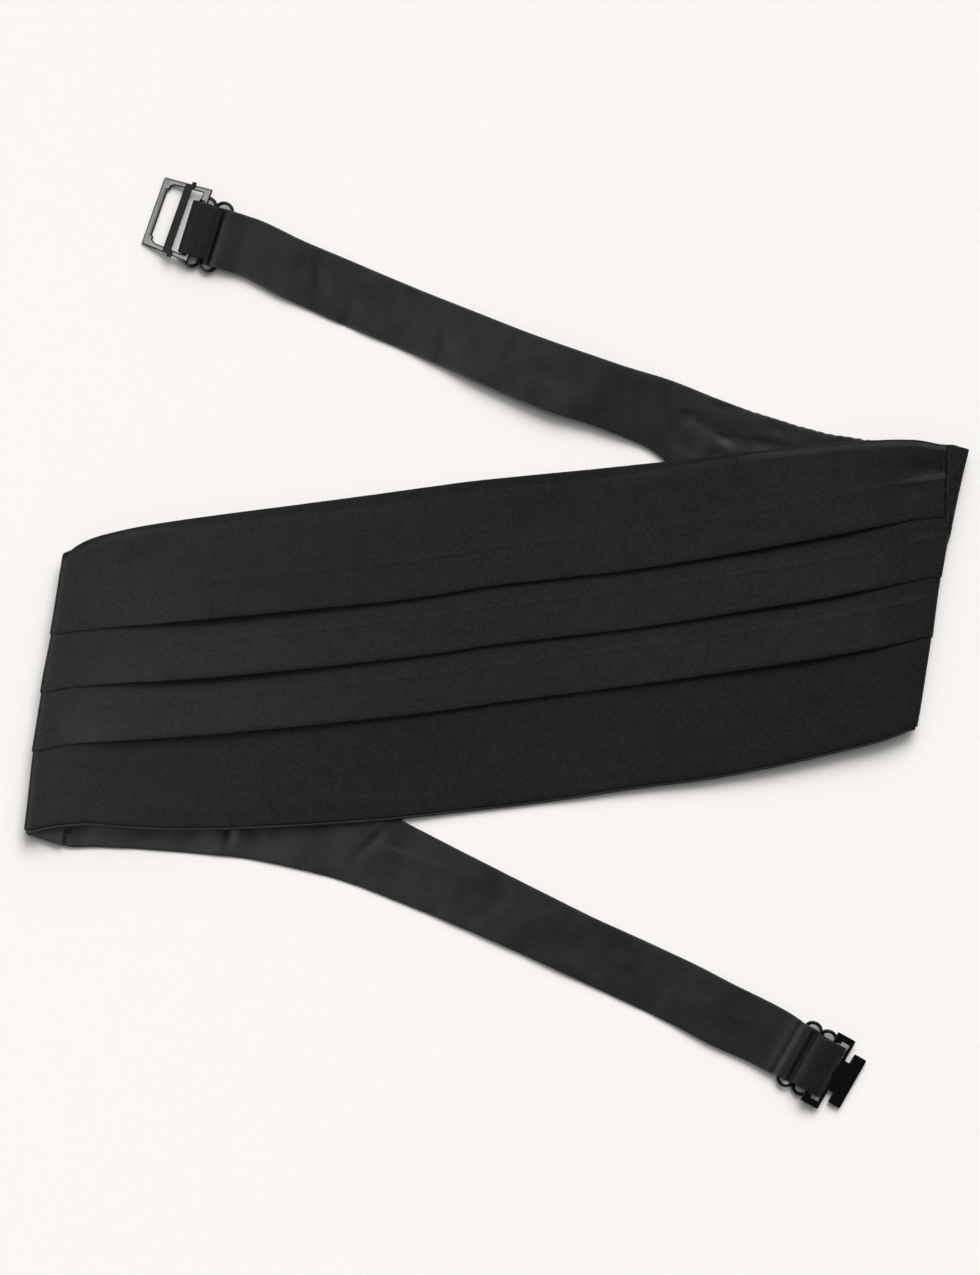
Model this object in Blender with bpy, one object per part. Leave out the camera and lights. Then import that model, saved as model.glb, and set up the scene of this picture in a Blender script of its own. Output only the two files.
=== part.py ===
"""Pleated black cummerbund, folded in a Z and laid flat.

The garment is drawn on its flat cut: a point there has u along the front, v across it
and n, its height above the lining's inner face. Both ends of the cut are then folded
under through a small roll, which lays the two tapered wings and their straps on the
surface below. All sizes here are in millimetres; the finished objects are in metres.
"""
import math
from bisect import bisect_right

import bmesh
import bpy
from mathutils import Matrix, Vector

MM = 0.001

# Cloth sizes
CLOTH = 1.0                 # wall of the pleated front and of the lining
STRAP = 1.2                 # wall of a wing and strap, two plies pressed together
GAP = 0.3                   # clearance between neighbouring pieces
PITCH = CLOTH + GAP         # from one layer's middle to the next
FRONT_LEVEL = CLOTH + GAP + CLOTH / 2    # middle of the front's lowest layer
PLEAT_DEPTH = 16.0          # hidden part of each knife pleat
PLEAT_RAMP = 4.0            # length over which a band climbs on to its own pleat
LINING_INSET = 0.8          # lining set back from the top edge
LINING_PEEK = 0.6           # lining showing past the bottom edge

# How the cut lies on the surface
LAY_TURN = math.radians(6.1)     # the front's long axis against the row's X
ROLL_RADIUS = 1.5                # inner radius of both end folds
LOWER_FACE = CLOTH + GAP + CLOTH + 2 * PITCH    # turned under: a lining and a whole pleat high
UPPER_FACE = LOWER_FACE + 2 * ROLL_RADIUS       # inner face of the front at a fold
ROLL_STEPS = 6                   # facets round each fold
CENTRE_SHIFT = (0.58, 0.19)       # puts the box's centre on the origin

# Where each fold crosses the long axis and how it leans, on the flat cut
FOLDS = {
    "left": {"crossing": -186.3, "lean": math.radians(75.97), "side": -1},
    "right": {"crossing": 182.8, "lean": math.radians(74.0), "side": 1},
}

# The front's cut: v of the top edge, the three pleat folds and the bottom edge at each u
FRONT_ROWS = [
    {"u": -218.35, "top": 53.0, "pleats": (21.5, -3.5, -28.0), "bottom": -57.0},
    {"u": -205.0, "top": 55.4, "pleats": (22.0, -2.8, -27.2), "bottom": -57.8},
    {"u": -196.0, "top": 56.4, "pleats": (22.3, -2.4, -26.0), "bottom": -57.0},
    {"u": -186.0, "top": 56.8, "pleats": (22.6, -0.8, -24.0), "bottom": -56.2},
    {"u": -176.0, "top": 57.2, "pleats": (23.1, -0.1, -23.6), "bottom": -56.9},
    {"u": -170.5, "top": 59.3, "pleats": (23.2, -0.2, -24.0), "bottom": -58.0},
    {"u": -165.0, "top": 61.3, "pleats": (23.3, -0.3, -24.4), "bottom": -59.2},
    {"u": -158.0, "top": 62.7, "pleats": (23.2, -0.5, -24.8), "bottom": -60.4},
    {"u": -140.0, "top": 64.3, "pleats": (22.6, -1.6, -25.6), "bottom": -63.0},
    {"u": -110.0, "top": 65.5, "pleats": (22.0, -2.6, -26.3), "bottom": -65.6},
    {"u": -75.0, "top": 66.3, "pleats": (21.8, -2.8, -26.6), "bottom": -67.4},
    {"u": -45.0, "top": 67.1, "pleats": (21.6, -2.5, -26.6), "bottom": -68.2},
    {"u": -20.0, "top": 67.9, "pleats": (22.4, -2.0, -26.2), "bottom": -68.1},
    {"u": 0.0, "top": 68.4, "pleats": (23.6, -1.0, -25.3), "bottom": -68.0},
    {"u": 22.0, "top": 68.3, "pleats": (23.8, -0.8, -25.0), "bottom": -67.5},
    {"u": 50.0, "top": 68.0, "pleats": (23.8, -0.6, -24.4), "bottom": -66.2},
    {"u": 80.0, "top": 67.9, "pleats": (24.9, 0.4, -23.5), "bottom": -65.5},
    {"u": 110.0, "top": 68.4, "pleats": (26.7, 2.1, -22.4), "bottom": -63.3},
    {"u": 135.0, "top": 68.2, "pleats": (28.6, 3.3, -21.2), "bottom": -60.3},
    {"u": 155.0, "top": 67.9, "pleats": (30.2, 5.0, -19.6), "bottom": -57.0},
    {"u": 170.0, "top": 67.2, "pleats": (31.8, 6.4, -17.8), "bottom": -52.8},
    {"u": 182.0, "top": 66.0, "pleats": (32.7, 7.6, -16.2), "bottom": -49.5},
    {"u": 194.85, "top": 62.8, "pleats": (32.7, 8.8, -14.8), "bottom": -47.2},
]

# How high the lining's inner face stands above the surface between the two folds
RISE_ROWS = [
    {"across": -186.3, "rise": UPPER_FACE}, {"across": -150.0, "rise": 7.3},
    {"across": -110.0, "rise": 5.6}, {"across": -75.0, "rise": 4.1},
    {"across": -50.0, "rise": 2.9}, {"across": -31.0, "rise": 1.8},
    {"across": -12.0, "rise": 0.0}, {"across": 28.0, "rise": 0.0},
    {"across": 43.0, "rise": 1.1},
    {"across": 62.0, "rise": 2.8}, {"across": 90.0, "rise": 4.7},
    {"across": 125.0, "rise": 6.8}, {"across": 160.0, "rise": 7.7},
    {"across": 182.8, "rise": UPPER_FACE},
]

# Each wing's cut from its seam to the straight strap, and how far the strap lifts
RIGHT_WING_ROWS = [
    {"u": 195.15, "top": 62.6, "bottom": -47.0, "lift": 0.0},
    {"u": 205.0, "top": 58.8, "bottom": -44.5, "lift": 0.0},
    {"u": 222.0, "top": 53.0, "bottom": -38.2, "lift": 0.0},
    {"u": 238.0, "top": 47.5, "bottom": -31.5, "lift": 0.0},
    {"u": 258.0, "top": 41.7, "bottom": -21.8, "lift": 0.0},
    {"u": 280.0, "top": 37.9, "bottom": -10.5, "lift": 0.0},
    {"u": 300.0, "top": 35.3, "bottom": -1.6, "lift": 0.3},
    {"u": 322.0, "top": 33.6, "bottom": 3.6, "lift": 1.2},
    {"u": 344.0, "top": 30.2, "bottom": 2.0, "lift": 3.4},
    {"u": 366.0, "top": 27.4, "bottom": -1.2, "lift": 4.4},
    {"u": 388.0, "top": 25.0, "bottom": -2.5, "lift": 3.8},
    {"u": 410.0, "top": 23.4, "bottom": -3.2, "lift": 2.0},
    {"u": 435.0, "top": 21.6, "bottom": -4.4, "lift": 0.5},
    {"u": 468.0, "top": 19.8, "bottom": -6.1, "lift": 0.0},
    {"u": 498.0, "top": 18.4, "bottom": -6.6, "lift": 0.3},
]
LEFT_WING_ROWS = [
    {"u": -218.65, "top": 52.8, "bottom": -57.0, "lift": 0.0},
    {"u": -232.0, "top": 47.5, "bottom": -53.2, "lift": 0.0},
    {"u": -250.0, "top": 39.5, "bottom": -47.5, "lift": 0.0},
    {"u": -272.0, "top": 29.5, "bottom": -40.6, "lift": 0.0},
    {"u": -292.0, "top": 20.5, "bottom": -34.8, "lift": 0.0},
    {"u": -312.0, "top": 12.5, "bottom": -31.0, "lift": 0.0},
    {"u": -330.0, "top": 7.5, "bottom": -28.6, "lift": 0.0},
    {"u": -345.0, "top": 5.0, "bottom": -27.7, "lift": 0.0},
    {"u": -367.0, "top": 2.8, "bottom": -27.6, "lift": 0.2},
    {"u": -390.0, "top": 0.8, "bottom": -27.9, "lift": 0.6},
    {"u": -414.0, "top": -1.2, "bottom": -28.6, "lift": 0.9},
    {"u": -437.0, "top": -3.0, "bottom": -29.7, "lift": 0.6},
    {"u": -460.0, "top": -4.0, "bottom": -30.8, "lift": 0.2},
    {"u": -483.0, "top": -5.2, "bottom": -32.3, "lift": 0.2},
    {"u": -512.0, "top": -7.4, "bottom": -34.7, "lift": 0.6},
]
WING_SEAM_LEVEL = {"left": 0.1, "right": 0.9}    # a wing's inner face where it is sewn on
WING_SEAM_RUN = 30.0        # distance in which a wing comes down to the surface
WING_ACROSS = 4             # strips across a wing
LINING_ACROSS = 7           # strips across the lining

# Each strap end: its slide's middle bar on the surface, the way to the clasp, the strap's half
# width, the clasp's bar, the loop's bend and half width, and how far loop and clasp sit off
# the middle
ENDS = {
    "frame": {"slide": (-120.75, 171.6), "heading": math.radians(163.04), "wide": 12.3,
              "pin_along": 4.85, "bend_along": 10.0, "loop_half": 11.4, "loop_across": -0.7,
              "clasp_across": -2.3, "clasp_turn": math.radians(-2.5)},
    "hook": {"slide": (131.17, -174.9), "heading": math.radians(-29.7), "wide": 13.2,
             "pin_along": 6.7, "bend_along": 12.6, "loop_half": 11.7, "loop_across": 0.0,
             "clasp_across": 0.0, "clasp_turn": 0.0},
}

# The strap's middle as it climbs over the slide's near bar and dives under its middle bar
THREAD_ROWS = [
    {"along": -21.0, "height": 0.6, "narrow": 0.0},
    {"along": -13.5, "height": 0.7, "narrow": 0.2},
    {"along": -10.5, "height": 1.9, "narrow": 0.6},
    {"along": -8.4, "height": 3.5, "narrow": 1.0},
    {"along": -7.2, "height": 3.8, "narrow": 1.0},
    {"along": -6.0, "height": 3.35, "narrow": 1.0},
    {"along": -4.2, "height": 1.95, "narrow": 1.0},
    {"along": -2.7, "height": 0.8, "narrow": 1.0},
    {"along": -1.6, "height": 0.6, "narrow": 1.0},
    {"along": 1.4, "height": 0.6, "narrow": 1.0},
]
THREAD_HALF_WIDTH = 11.8    # half width where the strap passes the slide

# The strap's return loop round the clasp's bar
LOOP_WALL = 1.0
LOOP_START = 1.8            # the loop's lower pass starts past the slide's middle bar
LOOP_LOW = 0.6              # middle of the lower pass above the surface
LOOP_HIGH = 6.0             # middle of the upper pass
LOOP_BEND_STEPS = 8
LOOP_END_ANGLE = 195.0      # where the upper pass ends, hooked over the slide's middle bar
LOOP_HOLD_STEPS = 4
LOOP_ACROSS = 1

# Slide: a figure of eight in round wire
WIRE = 1.3
SLIDE_PITCH = 7.2           # from bar to bar
SLIDE_LENGTH = 31.0         # outside length across the strap
SLIDE_LEVEL = 2.15          # middle of the wire above the surface
SLIDE_ARC_STEPS = 8
WIRE_BEVEL = 0.35

# Clasp plates, measured from the bar's axis towards the tip
PLATE = 1.3
PLATE_BEVEL = 0.25
PIN_LEVEL = 4.4             # the bar's axis above the surface
TAIL = 0.9                  # the bar behind its axis
BAR_FRONT = 0.7             # the bar in front of its axis
TAB_REACH = 2.6             # the bar is wider beside the loop
LOOP_CLEAR = 0.45           # sideways clearance of that wider part to the loop
TOUCH = 0.05                # the tip's clearance to the surface

FRAME_REACH = 20.6
FRAME_NEAR_HALF = 16.1      # half width at the bar
FRAME_FAR_HALF = 14.7       # half width at the tip
FRAME_RAIL = 2.2
FRAME_FAR_BAR = 3.0
FRAME_CHAMFER = 2.4
FRAME_STEP = 0.9
CROSSBAR_START = 7.3
CROSSBAR_WIDTH = 3.4
CROSSBAR_THICK = 0.9
CROSSBAR_INSET = 0.4        # its ends set back from the rails' outer edges
EAR_STEP = 1.0              # the ears stand off the crossbar's edge towards the loop
EAR_WIDTH = 1.9
EAR_INSIDE = 1.6            # an ear starts this far inside the rail's outer edge
EAR_REACH = 1.1             # and ends this far outside it

HOOK_HALF = 16.35
HOOK_RAIL = 2.9
HOOK_BAR_START = 6.4
HOOK_BAR_END = 7.8
NECK_HALF = 7.0
TEE_START = 10.2
TEE_END = 15.8
TEE_HALF = 11.55

# Finishes: colour, roughness, metallic
FINISHES = {
    "matt cloth": ((0.022, 0.022, 0.024), 0.85, 0.0),
    "satin lining": ((0.03, 0.03, 0.031), 0.5, 0.0),
    "black nickel": ((0.32, 0.32, 0.33), 0.25, 1.0),
    "black enamel": ((0.008, 0.008, 0.009), 0.3, 0.0),
}


def clear_scene():
    for item in list(bpy.data.objects):
        bpy.data.objects.remove(item, do_unlink=True)


def finish_of(name):
    """One Principled material for each finish."""
    material = bpy.data.materials.get(name) or bpy.data.materials.new(name)
    colour, roughness, metallic = FINISHES[name]
    material.use_nodes = True
    shader = material.node_tree.nodes["Principled BSDF"]
    shader.inputs["Base Color"].default_value = (*colour, 1.0)
    shader.inputs["Roughness"].default_value = roughness
    shader.inputs["Metallic"].default_value = metallic
    return material


def add_object(name, bm, finish):
    """Turn a bmesh in metres into an object with outward faces."""
    bmesh.ops.recalc_face_normals(bm, faces=bm.faces)
    if bm.calc_volume(signed=True) < 0:
        bmesh.ops.reverse_faces(bm, faces=bm.faces)
    mesh = bpy.data.meshes.new(name)
    bm.to_mesh(mesh)
    bm.free()
    mesh.materials.append(finish_of(finish))
    mesh.shade_smooth()
    mesh.set_sharp_from_angle(angle=math.radians(35))
    item = bpy.data.objects.new(name, mesh)
    bpy.context.collection.objects.link(item)
    return item


def smooth_between(rows, key, value, at):
    """Read a table at any place, with a smooth curve that never overshoots its rows."""
    places = [row[key] for row in rows]
    values = [row[value] for row in rows]
    if at <= places[0]:
        return values[0]
    if at >= places[-1]:
        return values[-1]
    slopes = [(values[i + 1] - values[i]) / (places[i + 1] - places[i])
              for i in range(len(rows) - 1)]

    def tangent(i):
        if i in (0, len(rows) - 1) or slopes[i - 1] * slopes[i] <= 0:
            return 0.0
        return 2 * slopes[i - 1] * slopes[i] / (slopes[i - 1] + slopes[i])

    i = bisect_right(places, at) - 1
    span = places[i + 1] - places[i]
    t = (at - places[i]) / span
    return ((2 * t ** 3 - 3 * t ** 2 + 1) * values[i] + (t ** 3 - 2 * t ** 2 + t) * span * tangent(i)
            + (3 * t ** 2 - 2 * t ** 3) * values[i + 1] + (t ** 3 - t ** 2) * span * tangent(i + 1))


def ease(t):
    """Smooth step from 0 to 1."""
    t = min(max(t, 0.0), 1.0)
    return t * t * (3 - 2 * t)


def fold_axes(fold):
    """A point on the fold, the way along it and the way out of the front, on the cut."""
    along = Vector((math.cos(fold["lean"]), math.sin(fold["lean"])))
    outward = Vector((along.y, -along.x)) * fold["side"]
    return Vector((fold["crossing"], 0.0)), along, outward


def past_fold(fold, u, v):
    """Distance along the cloth past a fold's first line, negative on the front."""
    base, _, outward = fold_axes(fold)
    return (Vector((u, v)) - base).dot(outward)


def rise_at(u, v):
    """Height of the lining's inner face on the front."""
    left = -past_fold(FOLDS["left"], u, v)
    right = -past_fold(FOLDS["right"], u, v)
    start, end = FOLDS["left"]["crossing"], FOLDS["right"]["crossing"]
    return smooth_between(RISE_ROWS, "across", "rise", start + (end - start) * left / (left + right))


def on_surface(u, v):
    """Turn a place on the cut to the way the front lies."""
    x = u * math.cos(LAY_TURN) - v * math.sin(LAY_TURN) + CENTRE_SHIFT[0]
    y = u * math.sin(LAY_TURN) + v * math.cos(LAY_TURN) + CENTRE_SHIFT[1]
    return x, y


def lay(u, v, n):
    """Lay a point of the flat cut: on the front, round a fold, or turned under."""
    for fold in FOLDS.values():
        s = past_fold(fold, u, v)
        if s <= 0:
            continue
        base, along, outward = fold_axes(fold)
        w = (Vector((u, v)) - base).dot(along)
        half_turn = math.pi * ROLL_RADIUS
        if s < half_turn:
            angle = s / ROLL_RADIUS
            out = (ROLL_RADIUS + n) * math.sin(angle)
            z = UPPER_FACE - ROLL_RADIUS + (ROLL_RADIUS + n) * math.cos(angle)
        else:
            out = half_turn - s
            z = LOWER_FACE - n
        place = base + w * along + out * outward
        return Vector((*on_surface(place.x, place.y), z))
    return Vector((*on_surface(u, v), rise_at(u, v) + n))


def sheet_block(along, across):
    """A flat block of cells, one cell thick: x and y count the cells, z is 0 or 1."""
    bm = bmesh.new()
    bmesh.ops.create_grid(bm, x_segments=along, y_segments=across, size=0.5)
    sides = bmesh.ops.extrude_face_region(bm, geom=bm.faces[:], use_keep_orig=True)
    for item in sides["geom"]:
        if isinstance(item, bmesh.types.BMVert):
            item.co.z = 1.0
    for vert in bm.verts:
        vert.co.x = round((vert.co.x + 0.5) * along)
        vert.co.y = round((vert.co.y + 0.5) * across)
    return bm


def score_folds(bm):
    """Score the flat cut where it bends, so that each fold is a clean roll."""
    for fold in FOLDS.values():
        base, _, outward = fold_axes(fold)
        for step in range(ROLL_STEPS + 1):
            place = base + outward * (math.pi * ROLL_RADIUS * step / ROLL_STEPS)
            bmesh.ops.bisect_plane(bm, geom=bm.verts[:] + bm.edges[:] + bm.faces[:], dist=0.001,
                                   plane_co=(place.x, place.y, 0), plane_no=(outward.x, outward.y, 0))
    bmesh.ops.triangulate(bm, faces=bm.faces)


def lay_all(bm, place):
    """Move every point of a flat cut to where it lies, in metres."""
    for vert in bm.verts:
        vert.co = place(*vert.co) * MM


def turn(centre_v, centre_n, start, end):
    """A half turn of the cloth's middle, as places and outward directions."""
    points = []
    for step in range(5):
        angle = math.radians(start + (end - start) * step / 4)
        facing = Vector((math.cos(angle), math.sin(angle)))
        points.append((Vector((centre_v, centre_n)) + PITCH / 2 * facing, facing))
    return points


def pleated_section(row):
    """The front's section from top edge to bottom edge: three knife pleats that hang down."""
    up = Vector((0, 1))
    low, high = FRONT_LEVEL, FRONT_LEVEL + 2 * PITCH
    slope = Vector((PITCH * 2, PLEAT_RAMP)).normalized()
    lean = (up + slope).normalized() / math.cos(up.angle(slope) / 2)
    section = [(Vector((row["top"], low)), up)]
    for fold_edge in row["pleats"]:
        crest = fold_edge + PLEAT_DEPTH
        section.append((Vector((crest - GAP + PLEAT_RAMP, low)), lean))
        section.append((Vector((crest - GAP, high)), lean))
        outer = CLOTH + GAP / 2
        section += turn(fold_edge + outer, high - PITCH / 2, 90, 270)
        hidden = turn(crest - outer, low + PITCH / 2, 90, -90)
        section += [(place, -facing) for place, facing in hidden]
    section.append((Vector((row["bottom"], low)), up))
    return section


def build_front():
    sections = [pleated_section(row) for row in FRONT_ROWS]
    bm = sheet_block(len(sections) - 1, len(sections[0]) - 1)
    for vert in bm.verts:
        row, column, side = int(vert.co.x), int(vert.co.y), vert.co.z
        place, facing = sections[row][column]
        v, n = place + facing * CLOTH * (side - 0.5)
        vert.co = (FRONT_ROWS[row]["u"], v, n)
    score_folds(bm)
    lay_all(bm, lay)
    return add_object("pleated_front", bm, "matt cloth")


def build_lining():
    bm = sheet_block(len(FRONT_ROWS) - 1, LINING_ACROSS)
    for vert in bm.verts:
        row = FRONT_ROWS[int(vert.co.x)]
        top, bottom = row["top"] - LINING_INSET, row["bottom"] - LINING_PEEK
        v = top + (bottom - top) * vert.co.y / LINING_ACROSS
        vert.co = (row["u"], v, CLOTH * vert.co.z)
    score_folds(bm)
    lay_all(bm, lay)
    return add_object("front_lining", bm, "satin lining")


def wing_level(side, u, v, lift):
    """Inner face of a wing: beside the seam it meets the front, further on it lies below."""
    past = past_fold(FOLDS[side], u, v) - math.pi * ROLL_RADIUS
    start = WING_SEAM_LEVEL[side]
    return start + (LOWER_FACE - STRAP - start) * ease(past / WING_SEAM_RUN) - lift


def end_matrix(end):
    """The strap end's own frame: X to the clasp, Y across, at the slide's middle bar."""
    x, y = end["slide"]
    shift = Matrix.Translation((x + CENTRE_SHIFT[0], y + CENTRE_SHIFT[1], 0))
    return shift @ Matrix.Rotation(end["heading"], 4, "Z")


def path_normals(points):
    """Mitred normals, to the left of a path in the plane."""
    normals = []
    for i, point in enumerate(points):
        before = (point - points[i - 1]).normalized() if i else None
        after = (points[i + 1] - point).normalized() if i < len(points) - 1 else None
        before, after = before or after, after or before
        middle = (before + after).normalized()
        normals.append(Vector((-middle.y, middle.x)) / max(middle.dot(after), 0.5))
    return normals


def arc(centre, radius, start, end, steps):
    """Points of an arc in the plane, from one angle in degrees to another."""
    points = []
    for step in range(steps + 1):
        angle = math.radians(start + (end - start) * step / steps)
        points.append(centre + radius * Vector((math.cos(angle), math.sin(angle))))
    return points


def build_wing(name, side, rows, end):
    """A wing and its strap: laid through its fold, then threaded through the slide."""
    path = [Vector((row["along"], row["height"])) for row in THREAD_ROWS]
    normals = path_normals(path)
    matrix = end_matrix(end)
    hand = FOLDS[side]["side"]
    last = rows[-1]
    bm = sheet_block(len(rows) + len(path) - 1, WING_ACROSS)
    threaded = {}
    for vert in bm.verts:
        row, share, layer = int(vert.co.x), vert.co.y / WING_ACROSS, vert.co.z
        if row < len(rows):
            cut = rows[row]
            v = cut["top"] + (cut["bottom"] - cut["top"]) * share
            vert.co = (cut["u"], v, wing_level(side, cut["u"], v, cut["lift"]) + STRAP * layer)
            continue
        step = row - len(rows)
        half = end["wide"] + (THREAD_HALF_WIDTH - end["wide"]) * THREAD_ROWS[step]["narrow"]
        along, height = path[step] + normals[step] * STRAP * (0.5 - layer)
        threaded[vert] = matrix @ Vector((along, half * (2 * share - 1) * hand, height))
        # On the cut the threaded stretch goes straight on, clear of the folds that are scored
        run = path[step].x - path[0].x + WING_SEAM_RUN
        middle = (last["top"] + last["bottom"]) / 2
        vert.co = (last["u"] + hand * run, middle + half * (1 - 2 * share), STRAP * layer)
    score_folds(bm)
    for vert in bm.verts:
        vert.co = (threaded[vert] if vert in threaded else lay(*vert.co)) * MM
    return add_object(name, bm, "satin lining")


def build_loop(name, end):
    """The strap's end: under the slide's middle bar, round the clasp's bar and back."""
    bend = (LOOP_HIGH - LOOP_LOW) / 2
    bend_centre = Vector((end["bend_along"] - LOOP_WALL / 2 - bend, LOOP_LOW + bend))
    above_bar = Vector((end["pin_along"] - 0.5, LOOP_HIGH))
    bar = Vector((0.0, SLIDE_LEVEL))
    hold = (WIRE + LOOP_WALL) / 2 + GAP
    reach = above_bar - bar
    touch = math.degrees(math.atan2(reach.y, reach.x) + math.acos(hold / reach.length))
    path = [Vector((LOOP_START, LOOP_LOW))]
    path += arc(bend_centre, bend, -90, 90, LOOP_BEND_STEPS)
    path.append(above_bar)
    path += arc(bar, hold, touch, LOOP_END_ANGLE, LOOP_HOLD_STEPS)
    normals = path_normals(path)
    matrix = end_matrix(end)
    bm = sheet_block(len(path) - 1, LOOP_ACROSS)
    for vert in bm.verts:
        step, share = int(vert.co.x), vert.co.y / LOOP_ACROSS
        along, height = path[step] + normals[step] * LOOP_WALL * (0.5 - vert.co.z)
        across = end["loop_across"] + end["loop_half"] * (2 * share - 1)
        vert.co = matrix @ Vector((along, across, height)) * MM
    return add_object(name, bm, "matt cloth")


def extruded_plate(contours, low, high, bevel):
    """A flat plate between two heights: the first contour is its outline, the rest holes."""
    bm = bmesh.new()
    for contour in contours:
        verts = [bm.verts.new((x * MM, y * MM, low * MM)) for x, y in contour]
        for i, vert in enumerate(verts):
            bm.edges.new((vert, verts[i - 1]))
    bmesh.ops.triangle_fill(bm, edges=bm.edges[:], use_beauty=True, normal=(0, 0, 1))
    raised = bmesh.ops.extrude_face_region(bm, geom=bm.faces[:], use_keep_orig=True)
    for item in raised["geom"]:
        if isinstance(item, bmesh.types.BMVert):
            item.co.z = high * MM
    bmesh.ops.recalc_face_normals(bm, faces=bm.faces)
    rims = [edge for edge in bm.edges
            if abs(edge.verts[0].co.z - edge.verts[1].co.z) < 1e-7 and edge.calc_face_angle(0) > 1]
    bmesh.ops.bevel(bm, geom=rims, offset=bevel * MM, affect="EDGES", segments=1, profile=0.5,
                    material=-1)
    return bm


def mirrored(points):
    """A contour's far half added to its near half, mirrored across the clasp's long axis."""
    return points + [(x, -y) for x, y in reversed(points)]


def build_slide(name, end):
    """A figure of eight: two long rings side by side that share the middle bar."""
    ring = SLIDE_PITCH / 2
    outer, inner = ring + WIRE / 2, ring - WIRE / 2
    shoulder = SLIDE_LENGTH / 2 - outer
    waist = math.degrees(math.acos(ring / outer))
    right, left = Vector((ring, shoulder)), Vector((-ring, shoulder))
    outline = arc(right, outer, 0, 180 - waist, SLIDE_ARC_STEPS)
    outline += arc(left, outer, waist, 180, SLIDE_ARC_STEPS)[1:]
    holes = [mirrored([tuple(p) for p in arc(centre, inner, 0, 180, SLIDE_ARC_STEPS)])
             for centre in (right, left)]
    contours = [mirrored([tuple(p) for p in outline])] + holes
    bm = extruded_plate(contours, -WIRE / 2, WIRE / 2, WIRE_BEVEL)
    item = add_object(name, bm, "black enamel")
    place_at_end(item, end, (0, 0, SLIDE_LEVEL))
    return item


def place_at_end(item, end, place, tilt=0.0, swing=0.0):
    """Put an object in a strap end's frame, swung about Z and its tip tilted down."""
    local = (Matrix.Translation(Vector(place) * MM) @ Matrix.Rotation(swing, 4, "Z")
             @ Matrix.Rotation(tilt, 4, "Y"))
    frame = end_matrix(end)
    frame.translation *= MM
    item.matrix_world = frame @ local


def clasp_tilt(reach):
    """The tilt that lets a clasp's tip down on to the surface."""
    return math.asin((PIN_LEVEL - PLATE / 2 - TOUCH) / reach)


def place_clasp(item, end, reach):
    """Hang a clasp by its bar in the strap's loop."""
    place_at_end(item, end, (end["pin_along"], end["clasp_across"], PIN_LEVEL), clasp_tilt(reach),
                 end["clasp_turn"])


def bar_corner(end, side, inner):
    """Corner of the opening beside the bar, which is wider where the loop doesn't hold it."""
    loop_edge = end["loop_half"] + side * (end["loop_across"] - end["clasp_across"])
    tab = loop_edge + LOOP_CLEAR
    if tab >= inner(BAR_FRONT):
        return [(BAR_FRONT, inner(BAR_FRONT))]
    return [(BAR_FRONT, tab), (TAB_REACH, tab), (TAB_REACH, inner(TAB_REACH))]


def frame_half(x):
    """Half width of the eye half's plate, which narrows towards its tip."""
    share = (x + TAIL) / (FRAME_REACH + TAIL)
    return FRAME_NEAR_HALF + (FRAME_FAR_HALF - FRAME_NEAR_HALF) * share


def build_clasp_frame(end):
    """The eye half: a plate with one long window, hung by its near bar."""
    def inner(x):
        return frame_half(x) - FRAME_RAIL

    far = FRAME_REACH - FRAME_FAR_BAR
    step, chamfer = far - FRAME_STEP, far - FRAME_CHAMFER
    corner = [(chamfer, inner(chamfer)), (step, inner(step) - FRAME_STEP),
              (step, inner(step) - FRAME_CHAMFER), (far, inner(far) - FRAME_CHAMFER)]
    outline = mirrored([(-TAIL, FRAME_NEAR_HALF), (FRAME_REACH, FRAME_FAR_HALF)])
    window = bar_corner(end, 1, inner) + corner
    window += [(x, -y) for x, y in reversed(bar_corner(end, -1, inner) + corner)]
    bm = extruded_plate([outline, window], -PLATE / 2, PLATE / 2, PLATE_BEVEL)
    item = add_object("clasp_frame", bm, "black nickel")
    place_clasp(item, end, FRAME_REACH)
    return item


def build_crossbar(frame_item):
    """The bar across the eye's window that the hook catches, on top of the rails."""
    start, end = CROSSBAR_START, CROSSBAR_START + CROSSBAR_WIDTH
    ear_start, ear_end = start - EAR_STEP, start - EAR_STEP + EAR_WIDTH
    rail = frame_half(start)
    outline = mirrored([
        (start, rail - EAR_INSIDE), (ear_start, rail - EAR_INSIDE), (ear_start, rail + EAR_REACH),
        (ear_end, rail + EAR_REACH), (ear_end, rail - CROSSBAR_INSET), (end, rail - CROSSBAR_INSET),
    ])
    low = PLATE / 2 + GAP
    bm = extruded_plate([outline], low, low + CROSSBAR_THICK, PLATE_BEVEL)
    item = add_object("clasp_crossbar", bm, "black enamel")
    item.parent = frame_item
    return item


def build_clasp_hook(end):
    """The hook half: a frame hung by its near bar, with a neck and a T at its tip."""
    rail = HOOK_HALF - HOOK_RAIL
    outline = mirrored([
        (-TAIL, HOOK_HALF), (HOOK_BAR_END, HOOK_HALF), (HOOK_BAR_END, NECK_HALF),
        (TEE_START, NECK_HALF), (TEE_START, TEE_HALF), (TEE_END, TEE_HALF),
    ])
    slot = mirrored(bar_corner(end, 1, lambda x: rail) + [(HOOK_BAR_START, rail)])
    bm = extruded_plate([outline, slot], -PLATE / 2, PLATE / 2, PLATE_BEVEL)
    item = add_object("clasp_hook", bm, "black enamel")
    place_clasp(item, end, TEE_END)
    return item


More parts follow.
